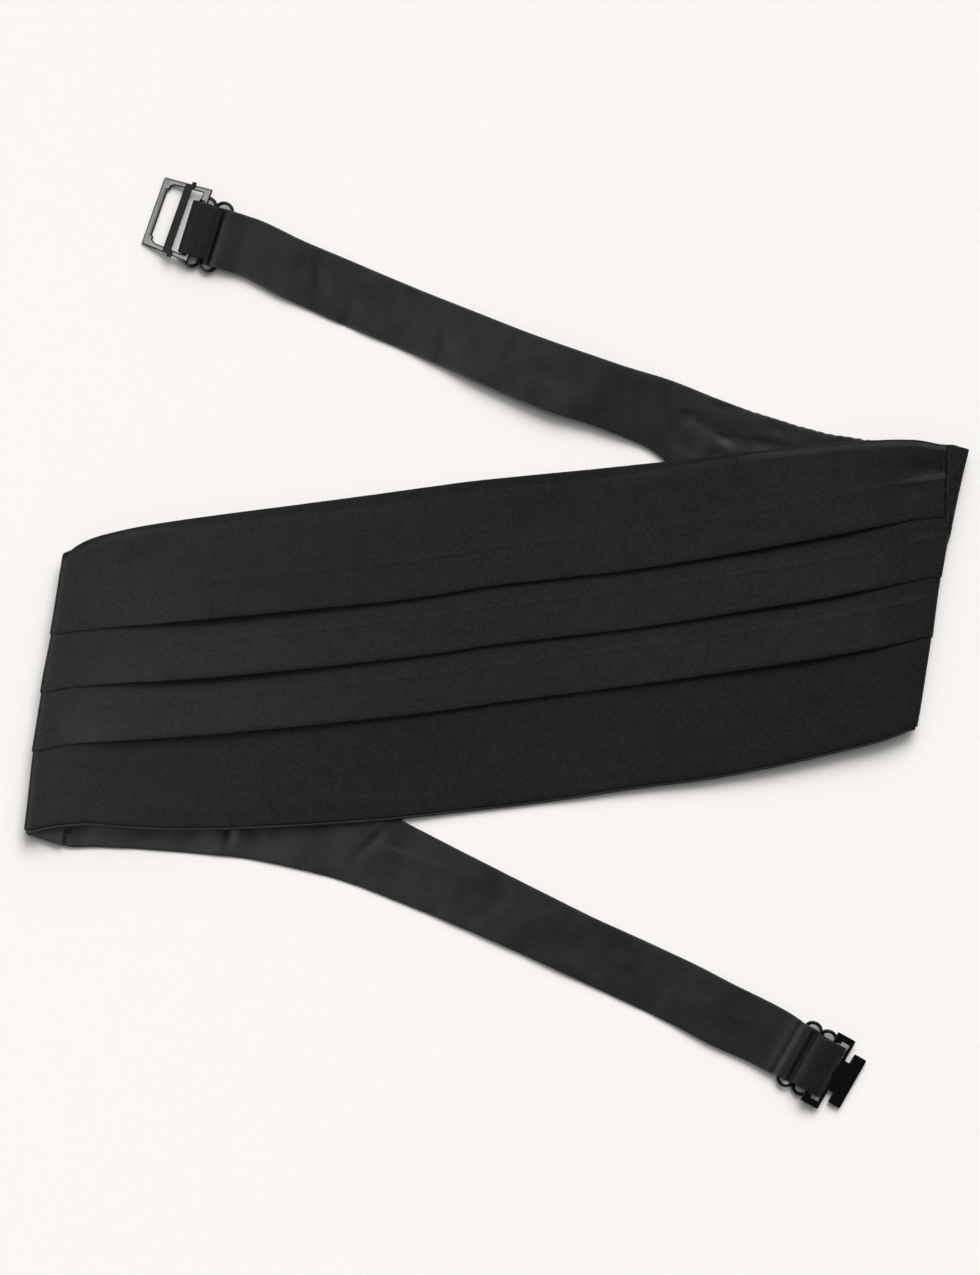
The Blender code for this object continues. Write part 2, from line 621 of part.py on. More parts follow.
def main():
    clear_scene()
    build_front()
    build_lining()
    build_wing("right_wing", "right", RIGHT_WING_ROWS, ENDS["frame"])
    build_wing("left_wing", "left", LEFT_WING_ROWS, ENDS["hook"])
    build_loop("frame_loop", ENDS["frame"])
    build_loop("hook_loop", ENDS["hook"])
    build_slide("frame_slide", ENDS["frame"])
    build_slide("hook_slide", ENDS["hook"])
    frame_item = build_clasp_frame(ENDS["frame"])
    build_crossbar(frame_item)
    build_clasp_hook(ENDS["hook"])


main()
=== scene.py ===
"""Black pleated cummerbund, folded in a Z and laid flat: its cloth, its clasp and the stage.

The cloth is drawn on its flat cut in millimetres, with u along the front, v across it and n
the height above the lining's inner face, and is then laid by one function, which turns both
ends under through a small roll. The panel in the 3D view's sidebar lists each step.
"""
import math
from bisect import bisect_right

import bmesh
import bpy
from bpy.props import FloatProperty, FloatVectorProperty, PointerProperty
from bpy.types import Operator, Panel, PropertyGroup
from mathutils import Matrix, Vector, noise


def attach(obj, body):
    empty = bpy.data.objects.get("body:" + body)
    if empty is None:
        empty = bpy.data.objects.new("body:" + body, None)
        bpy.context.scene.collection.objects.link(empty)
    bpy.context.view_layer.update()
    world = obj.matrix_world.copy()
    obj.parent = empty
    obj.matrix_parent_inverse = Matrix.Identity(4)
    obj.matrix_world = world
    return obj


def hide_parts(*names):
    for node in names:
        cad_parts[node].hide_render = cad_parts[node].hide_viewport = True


bl_info = {
    "name": "Pleated Cummerbund",
    "version": (1, 0, 0),
    "blender": (4, 5, 0),
    "location": "View3D > Sidebar > Cummerbund",
    "description": "Builds a black pleated cummerbund with its straps, slides and clasp",
    "category": "Add Mesh",
}

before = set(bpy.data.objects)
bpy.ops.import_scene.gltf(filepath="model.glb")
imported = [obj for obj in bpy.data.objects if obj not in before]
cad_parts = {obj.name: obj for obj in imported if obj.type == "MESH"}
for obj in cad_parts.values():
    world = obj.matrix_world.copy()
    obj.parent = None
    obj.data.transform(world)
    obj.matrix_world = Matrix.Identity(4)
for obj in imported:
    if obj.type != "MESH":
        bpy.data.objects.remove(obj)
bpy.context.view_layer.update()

MM = 0.001


def table(columns, *rows):
    """The rows of a table as dictionaries, each with the names of these columns."""
    return [dict(zip(columns.split(), row)) for row in rows]


# How the cut lies on the surface
LAY_TURN = math.radians(6.1)     # the front's long axis against the row's X
CENTRE_SHIFT = (0.58, 0.19)
ROLL_RADIUS = 1.5                # inner radius of both end folds
LOWER_FACE = 3.6                 # inner face of what is turned under
UPPER_FACE = 6.6                 # inner face of the front at a fold
HALF_TURN = math.pi * ROLL_RADIUS
ROLL_SQUARE = 4.0                # 2 would be a round turn

# Where each fold crosses the long axis and how it leans, on the flat cut
FOLDS = {
    "left": {"crossing": -186.3, "lean": math.radians(75.97), "side": -1, "bow": table(
        "along out",
        (-58.0, 0.7), (-26.0, 1.4), (2.0, 1.4), (26.0, 0.7), (60.0, 0.6),
    )},
    "right": {"crossing": 182.8, "lean": math.radians(74.0), "side": 1, "bow": table(
        "along out",
        (-52.0, 1.7), (-17.0, 1.0), (8.0, 0.4), (33.0, 0.8), (52.0, 1.5), (68.0, 2.4),
    )},
}
BOW_REACH = 30.0                 # how far from a fold its uneven line is felt

# Layers of the front, as heights of the cloth's middle above the lining's inner face
SHELL = 0.25                # thickness of one ply
LINING_LEVEL = 0.2
LINING_TURN = 0.45          # radius of the lining's turned edge
LINING_HEM = 5.0
HEM_LEVEL = 1.05
PLEAT_DEPTH = 16.0          # hidden part of each knife pleat
PLEAT_RAMP = 24.0           # longest climb of a band on to its own pleat
CREST = 1.2                 # half width of the pressed ridge at the top of a pleat
CREST_HIGH = 0.05
PRESSED = 0.06              # bend radius of the hidden fold, which is pressed flat
HEM_DEPTH = 7.0
LINING_INSET = 0.8          # lining set back from the top edge
LINING_PEEK = 1.35          # lining showing past the bottom edge
SEAM_LEFT = -218.35         # where the front's ends are sewn to the wings
SEAM_RIGHT = 194.05
SEAM_SLANT = 0.107          # the visible stretch of the right seam leans this much on the cut
SEAM_PIVOT = 50.0           # about this place across
SEAM_HIDDEN = 2.0           # and lies unmoved below this one
SEAM_REACH = 26.0           # the cloth beside it moves with it within this distance
FOOT_CLEAR = 0.3            # a band starts to climb at least this far below the band above
BEND_OPENS = 0.4            # share of its lift by which a fold edge's bend opens
UNDER_FOLLOWS = 0.6         # and by which the hidden layer beneath it follows

# Steps along the stretches of a section
TOP_STEPS = 12
BAND_STEPS = 9
BOTTOM_STEPS = 20
LINING_STEPS = 48
CREST_STEPS = 6
TURN_STEPS = 6
PRESSED_STEPS = 4
HIDDEN_STEPS = 3

# The front's cut: v of the top edge, the three pleat folds and the bottom edge at each u
FRONT_ROWS = table(
    "u top first second third bottom",
    (-218.35, 53.0, 21.5, -3.5, -28.0, -57.0),
    (-205.0, 53.2, 22.0, -2.8, -27.2, -57.8),
    (-190.0, 53.2, 22.5, -1.4, -24.8, -56.5),
    (-180.0, 52.8, 22.9, -0.3, -23.7, -56.6),
    (-176.5, 53.8, 23.1, -0.1, -23.7, -57.0),
    (-174.2, 55.6, 23.2, -0.1, -23.8, -57.3),
    (-172.0, 57.3, 23.2, -0.2, -23.9, -57.7),
    (-169.5, 58.8, 23.3, -0.2, -24.1, -58.3),
    (-165.0, 60.6, 23.3, -0.3, -24.4, -59.2),
    (-158.0, 62.2, 23.2, -0.5, -24.8, -60.4),
    (-140.0, 64.3, 22.6, -1.6, -25.6, -63.0),
    (-110.0, 65.5, 22.0, -2.6, -26.3, -65.6),
    (-75.0, 66.3, 21.8, -2.8, -26.6, -67.4),
    (-45.0, 67.1, 21.6, -2.5, -26.6, -68.2),
    (-20.0, 67.9, 22.4, -2.0, -26.2, -68.1),
    (0.0, 68.4, 23.6, -1.0, -25.3, -68.0),
    (22.0, 68.3, 23.8, -0.8, -25.0, -67.5),
    (50.0, 68.0, 23.8, -0.6, -24.4, -66.2),
    (80.0, 67.9, 24.9, 0.4, -23.5, -65.5),
    (110.0, 68.4, 26.7, 2.1, -22.4, -63.3),
    (135.0, 68.2, 28.6, 3.3, -21.2, -60.3),
    (155.0, 67.9, 30.2, 5.0, -19.6, -57.0),
    (170.0, 67.2, 31.8, 6.4, -17.8, -52.8),
    (182.0, 66.0, 32.7, 7.6, -16.2, -49.5),
    (194.85, 62.8, 32.7, 8.8, -14.8, -47.2),
)
PLEAT_KEYS = ("first", "second", "third")

# The front's lowest layer and the distance from one layer's middle to the next
LAYER_ROWS = table(
    "u low pitch",
    (-218.35, 2.0, 0.28), (-196.0, 2.0, 0.28), (-150.0, 1.8, 0.28), (-100.0, 1.6, 0.3),
    (120.0, 1.6, 0.3), (165.0, 1.7, 0.26), (194.85, 1.9, 0.22),
)

# How far each pleat's fold edge stands up
LIFT_ROWS = table(
    "u first second third",
    (-185.0, 0.0, 0.0, 0.0), (-177.0, 0.0, 0.1, 0.9), (-166.0, 0.2, 0.8, 2.6),
    (-152.0, 1.0, 2.2, 3.2), (-138.0, 2.2, 3.0, 3.0), (-118.0, 3.4, 3.3, 3.0),
    (-85.0, 2.8, 2.7, 2.5), (-45.0, 1.9, 1.8, 1.8), (20.0, 1.5, 1.4, 1.5), (90.0, 1.9, 1.8, 2.1),
    (125.0, 2.5, 2.4, 2.6), (150.0, 2.2, 1.9, 2.1), (170.0, 0.8, 0.5, 0.5),
    (182.0, 0.1, 0.0, 0.0),
)

# How high the lining's inner face stands above the surface between the two folds
RISE_ROWS = table(
    "across rise",
    (-186.3, UPPER_FACE), (-150.0, 5.9), (-110.0, 4.7), (-70.0, 3.3), (-30.0, 1.9), (0.0, 1.0),
    (28.0, 0.6), (55.0, 1.6), (90.0, 3.2), (125.0, 4.7), (160.0, 6.0), (182.8, UPPER_FACE),
)

# Each wing's cut from its seam to the straight strap, by its distance from the front's middle,
# and how far the strap lifts
STRAP = 1.2                 # a wing and strap, two plies pressed together
WINGS = {
    "right": table(
        "run top bottom lift",
        (194.35, 62.9, -47.2, 0.0), (205.0, 58.8, -44.5, 0.0), (222.0, 53.0, -38.2, 0.0),
        (238.0, 47.5, -31.5, 0.0), (258.0, 41.7, -21.8, 0.0), (280.0, 37.9, -10.5, 0.0),
        (300.0, 35.3, -1.6, 0.3), (322.0, 33.6, 3.6, 1.2), (344.0, 30.2, 2.0, 3.4),
        (366.0, 27.4, -1.2, 4.4), (388.0, 25.0, -2.5, 3.8), (410.0, 23.4, -3.2, 2.0),
        (435.0, 21.6, -4.4, 0.4), (468.0, 19.8, -6.1, 0.5), (498.0, 18.4, -6.6, 1.7),
    ),
    "left": table(
        "run top bottom lift",
        (218.65, 52.8, -58.2, 0.0), (232.0, 47.5, -53.7, 0.0), (250.0, 39.5, -47.5, 0.0),
        (272.0, 29.5, -40.6, 0.0), (292.0, 20.5, -34.8, 0.0), (312.0, 12.5, -31.0, 0.0),
        (330.0, 7.5, -28.6, 0.0), (345.0, 5.0, -27.7, 0.0), (367.0, 2.8, -27.6, 0.2),
        (390.0, 0.8, -27.9, 0.6), (414.0, -1.2, -28.6, 0.9), (437.0, -3.0, -29.7, 0.6),
        (460.0, -4.0, -30.8, 0.2), (483.0, -5.2, -32.3, 0.5), (512.0, -7.4, -34.7, 1.5),
    ),
}
WING_SEAM_LEVEL = 0.4       # a wing's inner face where it is sewn on
WING_ALLOWANCE = 2.5        # how far it runs on between lining and front
SEAM_STEP = 1.1             # outside the seam it stands higher, level with the pleats
SEAM_STEP_RUN = 0.25
FLOOR_CLEAR = 0.02          # cloth at rest stays this far above the surface
WING_SEAM_RUN = 30.0        # distance in which a wing comes down to the surface
WING_STRAIGHTENS = 70.0     # distance in which its grid turns square to the strap
SCALLOP = 0.42              # depth of the puckers along the right wing's upper edge
SCALLOP_STEP = 3.9
SCALLOP_START = 212.0       # they lie between these distances from the front's middle
SCALLOP_END = 300.0
SCALLOP_FADE = 20.0
SCALLOP_WAVE = 9.0          # their uneven depth changes within this length
SCALLOP_SEED = 2.3
SCALLOP_DIP = 0.6           # share of their depth by which the cloth beside them dips
EDGE_MARGIN = 3.6           # widest that the shaped part beside a strap's edge is
# The edge's rounding: each distance in from it with half the thickness there
EDGE_SHAPE = [(0.0, 0.0), (0.04, 0.24), (0.12, 0.42), (0.4, 0.53), (1.2, 0.58), (2.8, 0.6)]

# Each strap end, in its own frame at the slide's middle bar with X towards the clasp: the bar's
# place on the surface and the way to the clasp, the strap's half width, where the clasp's bar
# and the loop's bend lie along it, the loop's half width, how far loop and clasp sit off the
# middle and the clasp is swung round, and where the strap creases over the slide's near bar.
# Tail: the loop's end over the middle bar, as places along and heights of its middle.
# Thread: the strap's middle as it climbs over the near bar and dives under the middle one. At
# the eye it stays high up to the loop and has no crease, at the hook it slopes down.
ENDS = {
    "frame": {
        "slide": (-120.75, 171.6), "heading": math.radians(163.04), "wide": 12.3,
        "pin_along": 4.85, "bend_along": 10.0, "loop_half": 11.4, "loop_across": -0.7,
        "clasp_across": -2.3, "clasp_turn": math.radians(-2.5), "crease": None,
        "tail": [(0.6, 5.75), (-1.6, 5.35), (-3.3, 5.0)],
        "thread": table(
            "along height narrow",
            (-16.0, 2.6, 0.1), (-11.0, 3.3, 0.5), (-8.4, 3.7, 0.8), (-7.2, 3.8, 0.9),
            (-5.4, 3.75, 1.0), (-4.6, 3.4, 1.0), (-4.1, 2.4, 1.0), (-3.2, 1.1, 1.0),
            (-1.8, 0.62, 1.0), (1.4, 0.6, 1.0),
        ),
    },
    "hook": {
        "slide": (131.17, -174.9), "heading": math.radians(-29.7), "wide": 13.2,
        "pin_along": 6.7, "bend_along": 12.6, "loop_half": 11.7, "loop_across": 0.0,
        "clasp_across": 0.0, "clasp_turn": 0.0, "crease": -9.8,
        "tail": [(3.0, 5.9), (0.8, 5.4), (-1.0, 4.5)],
        "thread": table(
            "along height narrow",
            (-16.0, 2.4, 0.1), (-11.0, 3.2, 0.5), (-8.4, 3.7, 0.9), (-7.2, 3.8, 1.0),
            (-5.6, 3.6, 1.0), (-4.4, 3.0, 1.0), (-3.4, 1.7, 1.0), (-2.6, 0.75, 1.0), (-1.8, 0.6, 1.0),
            (1.4, 0.6, 1.0),
        ),
    },
}
THREAD_BLEND = 11.0         # the strap turns into its threaded stretch over this much more
THREAD_HALF_WIDTH = 12.4    # half width of the strap inside the slide
THREAD_OVERLAP = 0.6        # the strap runs on this far past the start of its loop
THREAD_PROBE = 0.2          # its slope is measured this far to both sides
BAR_CREASE = 0.7            # depth of the crease where the strap bends over the near bar
CREASE_STEEP = 0.5          # its reach towards the strap
CREASE_SLOW = 2.2           # and towards the bar

# The strap's return loop round the clasp's bar
LOOP_WALL = 1.0
LOOP_RUMPLE = 0.22          # height of its slack waves
LOOP_WAVE = 5.0             # and their length
LOOP_STEP = 0.6
LOOP_TURN_STEPS = 16
LOOP_SETTLED = 0.5          # the upper pass is level from this far behind the clasp's bar
LOOP_START = 1.5            # the lower pass starts this far past the slide's middle bar
LOOP_LOW = 0.6              # middle of the lower pass above the surface
LOOP_HIGH = 6.0             # middle of the upper pass

# Slide, a figure of eight in round wire
WIRE = 1.55
SLIDE_PITCH = 7.2           # from bar to bar
SLIDE_LENGTH = 31.0         # outside length across the strap
SLIDE_LEVEL = 2.15          # middle of the wire above the surface
WIRE_ROUND = 0.68           # its edges are rounded by this much, almost to a round wire
WIRE_SEGMENTS = 5
RING_STEPS = 20

# Clasp plates, measured from the bar's axis towards the tip
PLATE = 1.3
PIN_LEVEL = 4.4             # the bar's axis above the surface
BAR_BACK = 0.9              # the bar behind its axis
BAR_FRONT = 0.7             # the bar in front of its axis
TAB_REACH = 2.6             # the bar is wider beside the loop
LOOP_CLEAR = 0.45           # sideways clearance of that wider part to the loop
TOUCH = 0.05                # the tip's clearance to the surface
FRAME_REACH = 20.6          # the eye half's tip
FRAME_NEAR_HALF = 16.1      # half width at the bar
FRAME_FAR_HALF = 14.7       # half width at the tip
FRAME_RAIL = 2.2            # width of its rails
FRAME_FAR_BAR = 3.0         # and of its far bar
FRAME_CHAMFER = 2.4         # the window's far corners are cut off by this much
FRAME_STEP = 0.9            # and end in a step of this size
RIB_INSET = 0.75            # raised line along the far bar, from the window's edge
RIB_WIDTH = 0.6
RIB_HIGH = 0.25
RIB_SUNK = 0.1              # its foot reaches this far into the plate
CROSSBAR_START = 7.3
CROSSBAR_WIDTH = 3.4
CROSSBAR_THICK = 0.9
CROSSBAR_CLEAR = 0.05       # gap between the crossbar and the rails beneath it
CROSSBAR_INSET = 0.4        # its ends set back from the rails' outer edges
EAR_STEP = 1.0              # the ears stand off the crossbar's edge towards the loop
EAR_WIDTH = 1.9
EAR_INSIDE = 1.6            # an ear starts this far inside the rail's outer edge
EAR_REACH = 1.1             # and ends this far outside it
HOOK_HALF = 16.35           # half width of the hook half's frame
HOOK_RAIL = 2.9             # width of its rails
HOOK_BAR_START = 6.4        # its far bar
HOOK_BAR_END = 7.8
NECK_HALF = 7.0             # half width of the neck that carries the T
TEE_START = 10.2
TEE_END = 15.8
TEE_HALF = 11.55            # half width of the T
TEE_BEND = 8.9              # the neck bends up from here
TEE_SLOPE = 0.14
BEND_HALF = 0.5             # the bend is cut into the plate this far to both sides as well

# Radius of each plate's corners, seen from above, and of its rims
OUTLINE_ROUND = 0.6
WINDOW_ROUND = 0.3
RIB_ROUND = 0.2
CROSSBAR_ROUND = 0.4
FRAME_RIM = 0.5
RIB_RIM = 0.1
CROSSBAR_RIM = 0.25
HOOK_RIM = 0.3
CORNER_STEPS = 3
CORNER_SHARE = 0.45         # a corner takes at most this share of the edge beside it

# Limits by which points, edges and faces are told apart
LEVEL_WITHIN = 1e-7         # metres within which an edge's ends are level
CUT_SNAP = 0.001            # mm within which a slice takes a point that is there
DOUBLE = 0.00001            # metres within which two points are one
SHARP_FROM = 1.0            # radians between two faces at a plate's rim
CRISP_FROM = math.radians(40)
FACES_UP = 0.97             # a face whose normal rises more than this is on top; the eye plate's other faces get painted shade

# Grids on the cloth
COLUMN_STEP = 1.8
ROLL_STEP = HALF_TURN / 18
STATION_STEP = 1.3          # along a wing and strap
THREAD_STEP = 0.5           # and where the strap is threaded
ACROSS_POINTS = 54          # across them, between the shaped edges
PANEL_SPARE = 18.0          # the front's grid starts this far outside its seams
SECTION_SPARE = 20.0        # and its sections are read this far outside the grid
WING_SPARE = 24.0           # a wing's grid starts this far inside its seam
PANEL_ROUNDS = 3            # rounds in which a leaning column finds its place on the cut
WING_ROUNDS = 4
ROWS_SHORT = 1.001          # sections are read up to just short of their last row

# Photograph's frame, for the camera
PHOTO_HIGH = 535.5          # the photograph's whole height
PHOTO_CENTRE = (-1.52, 2.29)
PHOTO_LEVEL = 5.0           # height at which the photograph's scale holds
SENSOR = 36.0
SIGHT = 20.0                # metres that the camera sees

# Floor and lights, in metres and radians
FLOOR_HALF = 4.0
ZENITH_SHARE = 0.25         # the sky overhead, as a share of the horizon's brightness
ZENITH_RAMP = (0.78, 0.45)  # it brightens between these heights of the way up
SIDE_RAMP = (0.1, -0.5)     # and to the left between these shares of the way right
SOFT_RAISED = math.radians(6)    # the soft light stands this much higher than the key
SHEEN_SIZE = 0.5
# Where each panel stands that gives the cloth its sheen, and its share of their power: one near
# on the left for the view from overhead, three low and far for the views from the sides
SHEEN_PANELS = {
    (-0.44, -0.02, 0.42): 1.0,
    (0.9, 0.95, 0.46): 1.1,
    (-0.9, -0.95, 0.46): 1.2,
    (0.95, -0.9, 0.46): 0.7,
}


def srgb(code):
    """Linear colour of an sRGB hex value."""
    levels = [int(code[i:i + 2], 16) / 255 for i in (1, 3, 5)]
    return tuple(c / 12.92 if c <= 0.04045 else ((c + 0.055) / 1.055) ** 2.4 for c in levels)


def curve(t, start, leave, finish, arrive):
    """A place between start and finish on a smooth curve with these slopes at its ends."""
    return ((2 * t ** 3 - 3 * t ** 2 + 1) * start + (t ** 3 - 2 * t ** 2 + t) * leave
            + (3 * t ** 2 - 2 * t ** 3) * finish + (t ** 3 - t ** 2) * arrive)


def smooth_between(rows, key, value, at):
    """Read a table at any place, with a smooth curve that never overshoots its rows."""
    places = [row[key] for row in rows]
    values = [row[value] for row in rows]
    if at <= places[0]:
        return values[0]
    if at >= places[-1]:
        return values[-1]
    slopes = [(values[i + 1] - values[i]) / (places[i + 1] - places[i])
              for i in range(len(rows) - 1)]

    def tangent(i):
        if i in (0, len(rows) - 1) or slopes[i - 1] * slopes[i] <= 0:
            return 0.0
        return 2 * slopes[i - 1] * slopes[i] / (slopes[i - 1] + slopes[i])

    i = bisect_right(places, at) - 1
    span = places[i + 1] - places[i]
    return curve((at - places[i]) / span, values[i], span * tangent(i), values[i + 1],
                 span * tangent(i + 1))


def ease(t):
    """Smooth step from 0 to 1."""
    t = min(max(t, 0.0), 1.0)
    return t * t * (3 - 2 * t)


def spaced(start, end, step):
    """Evenly spaced places from start up to, but without, the end."""
    count = max(round(abs(end - start) / step), 1)
    return [start + (end - start) * i / count for i in range(count)]


def fold_axes(fold):
    """A point on the fold, the way along it and the way out of the front, on the cut."""
    along = Vector((math.cos(fold["lean"]), math.sin(fold["lean"])))
    outward = Vector((along.y, -along.x)) * fold["side"]
    return Vector((fold["crossing"], 0.0)), along, outward


def past_fold(fold, u, v):
    """Distance along the cloth past a fold's first line, negative on the front."""
    base, _, outward = fold_axes(fold)
    return (Vector((u, v)) - base).dot(outward)


def rise_at(u, v):
    """Height of the lining's inner face on the front."""
    left = -past_fold(FOLDS["left"], u, v)
    right = -past_fold(FOLDS["right"], u, v)
    start, end = FOLDS["left"]["crossing"], FOLDS["right"]["crossing"]
    return smooth_between(RISE_ROWS, "across", "rise", start + (end - start) * left / (left + right))


def on_surface(u, v):
    """Turn a place on the cut to the way the front lies."""
    x = u * math.cos(LAY_TURN) - v * math.sin(LAY_TURN) + CENTRE_SHIFT[0]
    y = u * math.sin(LAY_TURN) + v * math.cos(LAY_TURN) + CENTRE_SHIFT[1]
    return x, y


def roll_place(angle):
    """A unit place on a fold's turn, squarer than a circle: cloth lies flat almost to its edge."""
    s, c = math.sin(angle), math.cos(angle)
    size = (abs(s) ** ROLL_SQUARE + abs(c) ** ROLL_SQUARE) ** (-1 / ROLL_SQUARE)
    return s * size, c * size


def slanted(u, v):
    """Move the cloth beside the right seam along u, so that the seam's visible stretch leans."""
    near = (1 - ease(abs(u - SEAM_RIGHT) / SEAM_REACH)) * ease((v - SEAM_HIDDEN) / SEAM_REACH)
    return u + SEAM_SLANT * (v - SEAM_PIVOT) * near


def lay(u, v, n):
    """Lay a point of the flat cut: on the front, round a fold, or turned under."""
    u = slanted(u, v)
    place = Vector((u, v))
    for fold in FOLDS.values():
        s = past_fold(fold, u, v)
        away = max(-s, s - HALF_TURN, 0.0)
        base, along, outward = fold_axes(fold)
        w = (Vector((u, v)) - base).dot(along)
        if away < BOW_REACH:
            bow = outward * smooth_between(fold["bow"], "along", "out", w)
            place += bow * (1 - ease(away / BOW_REACH))
        if s <= 0:
            continue
        if s < HALF_TURN:
            sideways, up = roll_place(s / ROLL_RADIUS)
            out = (ROLL_RADIUS + n) * sideways
            z = UPPER_FACE - ROLL_RADIUS + (ROLL_RADIUS + n) * up
        else:
            out = HALF_TURN - s
            z = LOWER_FACE - n
        place += base + w * along + out * outward - Vector((u, v))
        return Vector((*on_surface(place.x, place.y), z))
    return Vector((*on_surface(place.x, place.y), rise_at(u, v) + n))


def column_lean(u0):
    """How far a column of the front's grid moves along u for each v: it follows the folds."""
    left, right = FOLDS["left"], FOLDS["right"]
    share = (u0 - left["crossing"]) / (right["crossing"] - left["crossing"])
    share = min(max(share, 0.0), 1.0)
    start, end = 1 / math.tan(left["lean"]), 1 / math.tan(right["lean"])
    return start + (end - start) * share


def roll_ends(fold):
    """Where a fold's first and last lines cross the long axis, by distance from the middle."""
    crossing = fold["crossing"] * fold["side"]
    return crossing, crossing + HALF_TURN / math.sin(fold["lean"])


def front_columns():
    """Where the columns cross the long axis, close together round each fold."""
    left, left_end = (-place for place in roll_ends(FOLDS["left"]))
    right, right_end = roll_ends(FOLDS["right"])
    first, last = SEAM_LEFT - PANEL_SPARE, SEAM_RIGHT + PANEL_SPARE
    runs = ((first, left_end, COLUMN_STEP), (left_end, left, ROLL_STEP), (left, right, COLUMN_STEP),
            (right, right_end, ROLL_STEP), (right_end, last, COLUMN_STEP))
    return [place for run in runs for place in spaced(*run)] + [last]


def arc(x, y, radius, start, end, steps):
    """Points of an arc in the plane, from one angle in degrees to another."""
    points = []
    for step in range(steps + 1):
        angle = math.radians(start + (end - start) * step / steps)
        points.append((x + radius * math.cos(angle), y + radius * math.sin(angle)))
    return points


def run_between(start, end, steps):
    """Points on a straight run of a section, without its last one."""
    return [(start[0] + (end[0] - start[0]) * i / steps, start[1] + (end[1] - start[1]) * i / steps)
            for i in range(steps)]


def front_section(u):
    """The front's section at u, as v and n from the top hem, over three pleats, to the bottom."""
    top, bottom = (smooth_between(FRONT_ROWS, "u", key, u) for key in ("top", "bottom"))
    low, pitch = (smooth_between(LAYER_ROWS, "u", key, u) for key in ("low", "pitch"))
    middle, high = low + pitch, low + 2 * pitch
    hem = (low - HEM_LEVEL) / 2
    section = run_between((top - HEM_DEPTH, HEM_LEVEL), (top - hem, HEM_LEVEL), HIDDEN_STEPS)
    section += arc(top - hem, HEM_LEVEL + hem, hem, -90, 90, TURN_STEPS)
    start, steps = top - hem, TOP_STEPS
    for key in PLEAT_KEYS:
        fold, lift = smooth_between(FRONT_ROWS, "u", key, u), smooth_between(LIFT_ROWS, "u", key, u)
        crest = fold + PLEAT_DEPTH
        foot = min(crest + PLEAT_RAMP, start - FOOT_CLEAR)
        bend = (pitch + BEND_OPENS * lift) / 2
        section += run_between((start, low), (foot, low), steps)[1:]
        # The band climbs evenly over the hidden layers and on to its lifted edge
        climb = (high - low + lift) / (foot - fold - bend)
        places = run_between((foot, 0), (crest + CREST, CREST), CREST_STEPS)
        places += run_between((crest + CREST, CREST), (crest - CREST, -CREST), CREST_STEPS)
        places += run_between((crest - CREST, -CREST), (fold + bend, -CREST), BAND_STEPS)
        for place, from_crest in places:
            ridge = CREST_HIGH * (1 - min(abs(from_crest) / CREST, 1) ** 2) ** 2
            section.append((place, low + climb * (foot - place) + ridge))
        section += arc(fold + bend, high + lift - bend, bend, 90, 270, TURN_STEPS)
        section += run_between((fold + bend, middle + UNDER_FOLLOWS * lift),
                               (crest - PRESSED, low + 2 * PRESSED), HIDDEN_STEPS)[1:]
        section += arc(crest - PRESSED, low + PRESSED, PRESSED, 90, -90, PRESSED_STEPS)
        section += run_between((crest - PRESSED, low), (fold, low), HIDDEN_STEPS)[1:]
        start, steps = fold, 1
    section += run_between((start, low), (bottom + hem, low), BOTTOM_STEPS)
    section += arc(bottom + hem, HEM_LEVEL + hem, hem, 90, 270, TURN_STEPS)
    section += run_between((bottom + hem, HEM_LEVEL), (bottom + HEM_DEPTH, HEM_LEVEL),
                           HIDDEN_STEPS)[1:]
    section.append((bottom + HEM_DEPTH, HEM_LEVEL))
    return section


def lining_section(u):
    """The lining's section at u, as v and n: its bottom edge is turned in above it."""
    top, bottom = (smooth_between(FRONT_ROWS, "u", key, u) for key in ("top", "bottom"))
    edge = bottom - LINING_PEEK + LINING_TURN
    section = run_between((top - LINING_INSET, LINING_LEVEL), (edge, LINING_LEVEL), LINING_STEPS)
    section += arc(edge, LINING_LEVEL + LINING_TURN, LINING_TURN, 270, 90, TURN_STEPS)
    section.append((edge + 2 * LINING_TURN, LINING_LEVEL + LINING_TURN))
    section.append((edge + LINING_HEM, LINING_LEVEL + LINING_TURN))
    return section


class Sections:
    """A panel's sections at each millimetre of u, read at any place between them."""

    def __init__(self, section_at, start, end):
        self.start = math.floor(start)
        self.rows = []
        for u in range(self.start, math.ceil(end) + 2):
            section = section_at(u)
            lengths = [0.0]
            for (v0, n0), (v1, n1) in zip(section, section[1:]):
                lengths.append(lengths[-1] + math.hypot(v1 - v0, n1 - n0))
            self.rows.append([Vector((v, n, run)) for (v, n), run in zip(section, lengths)])

    def read(self, u, point):
        """The v, the n and the length along the section of a point, at u."""
        place = min(max(u - self.start, 0.0), len(self.rows) - ROWS_SHORT)
        i = int(place)
        return self.rows[i][point].lerp(self.rows[i + 1][point], place - i)


def grid(along, across):
    """A grid whose x and y count its lines, with a layer for each point's place on the cut."""
    bm = bmesh.new()
    bmesh.ops.create_grid(bm, x_segments=along, y_segments=across, size=0.5)
    for vert in bm.verts:
        vert.co.x = round((vert.co.x + 0.5) * along)
        vert.co.y = round((vert.co.y + 0.5) * across)
    return bm, bm.verts.layers.float_vector.new("cut")


def slice_at(bm, x, way=1, snap=CUT_SNAP, clear=False):
    """Slice a mesh across its X, and where asked let the side beyond the slice fall away."""
    bmesh.ops.bisect_plane(bm, geom=bm.verts[:] + bm.edges[:] + bm.faces[:], dist=snap,
                           plane_co=(x, 0, 0), plane_no=(way, 0, 0), clear_outer=clear)


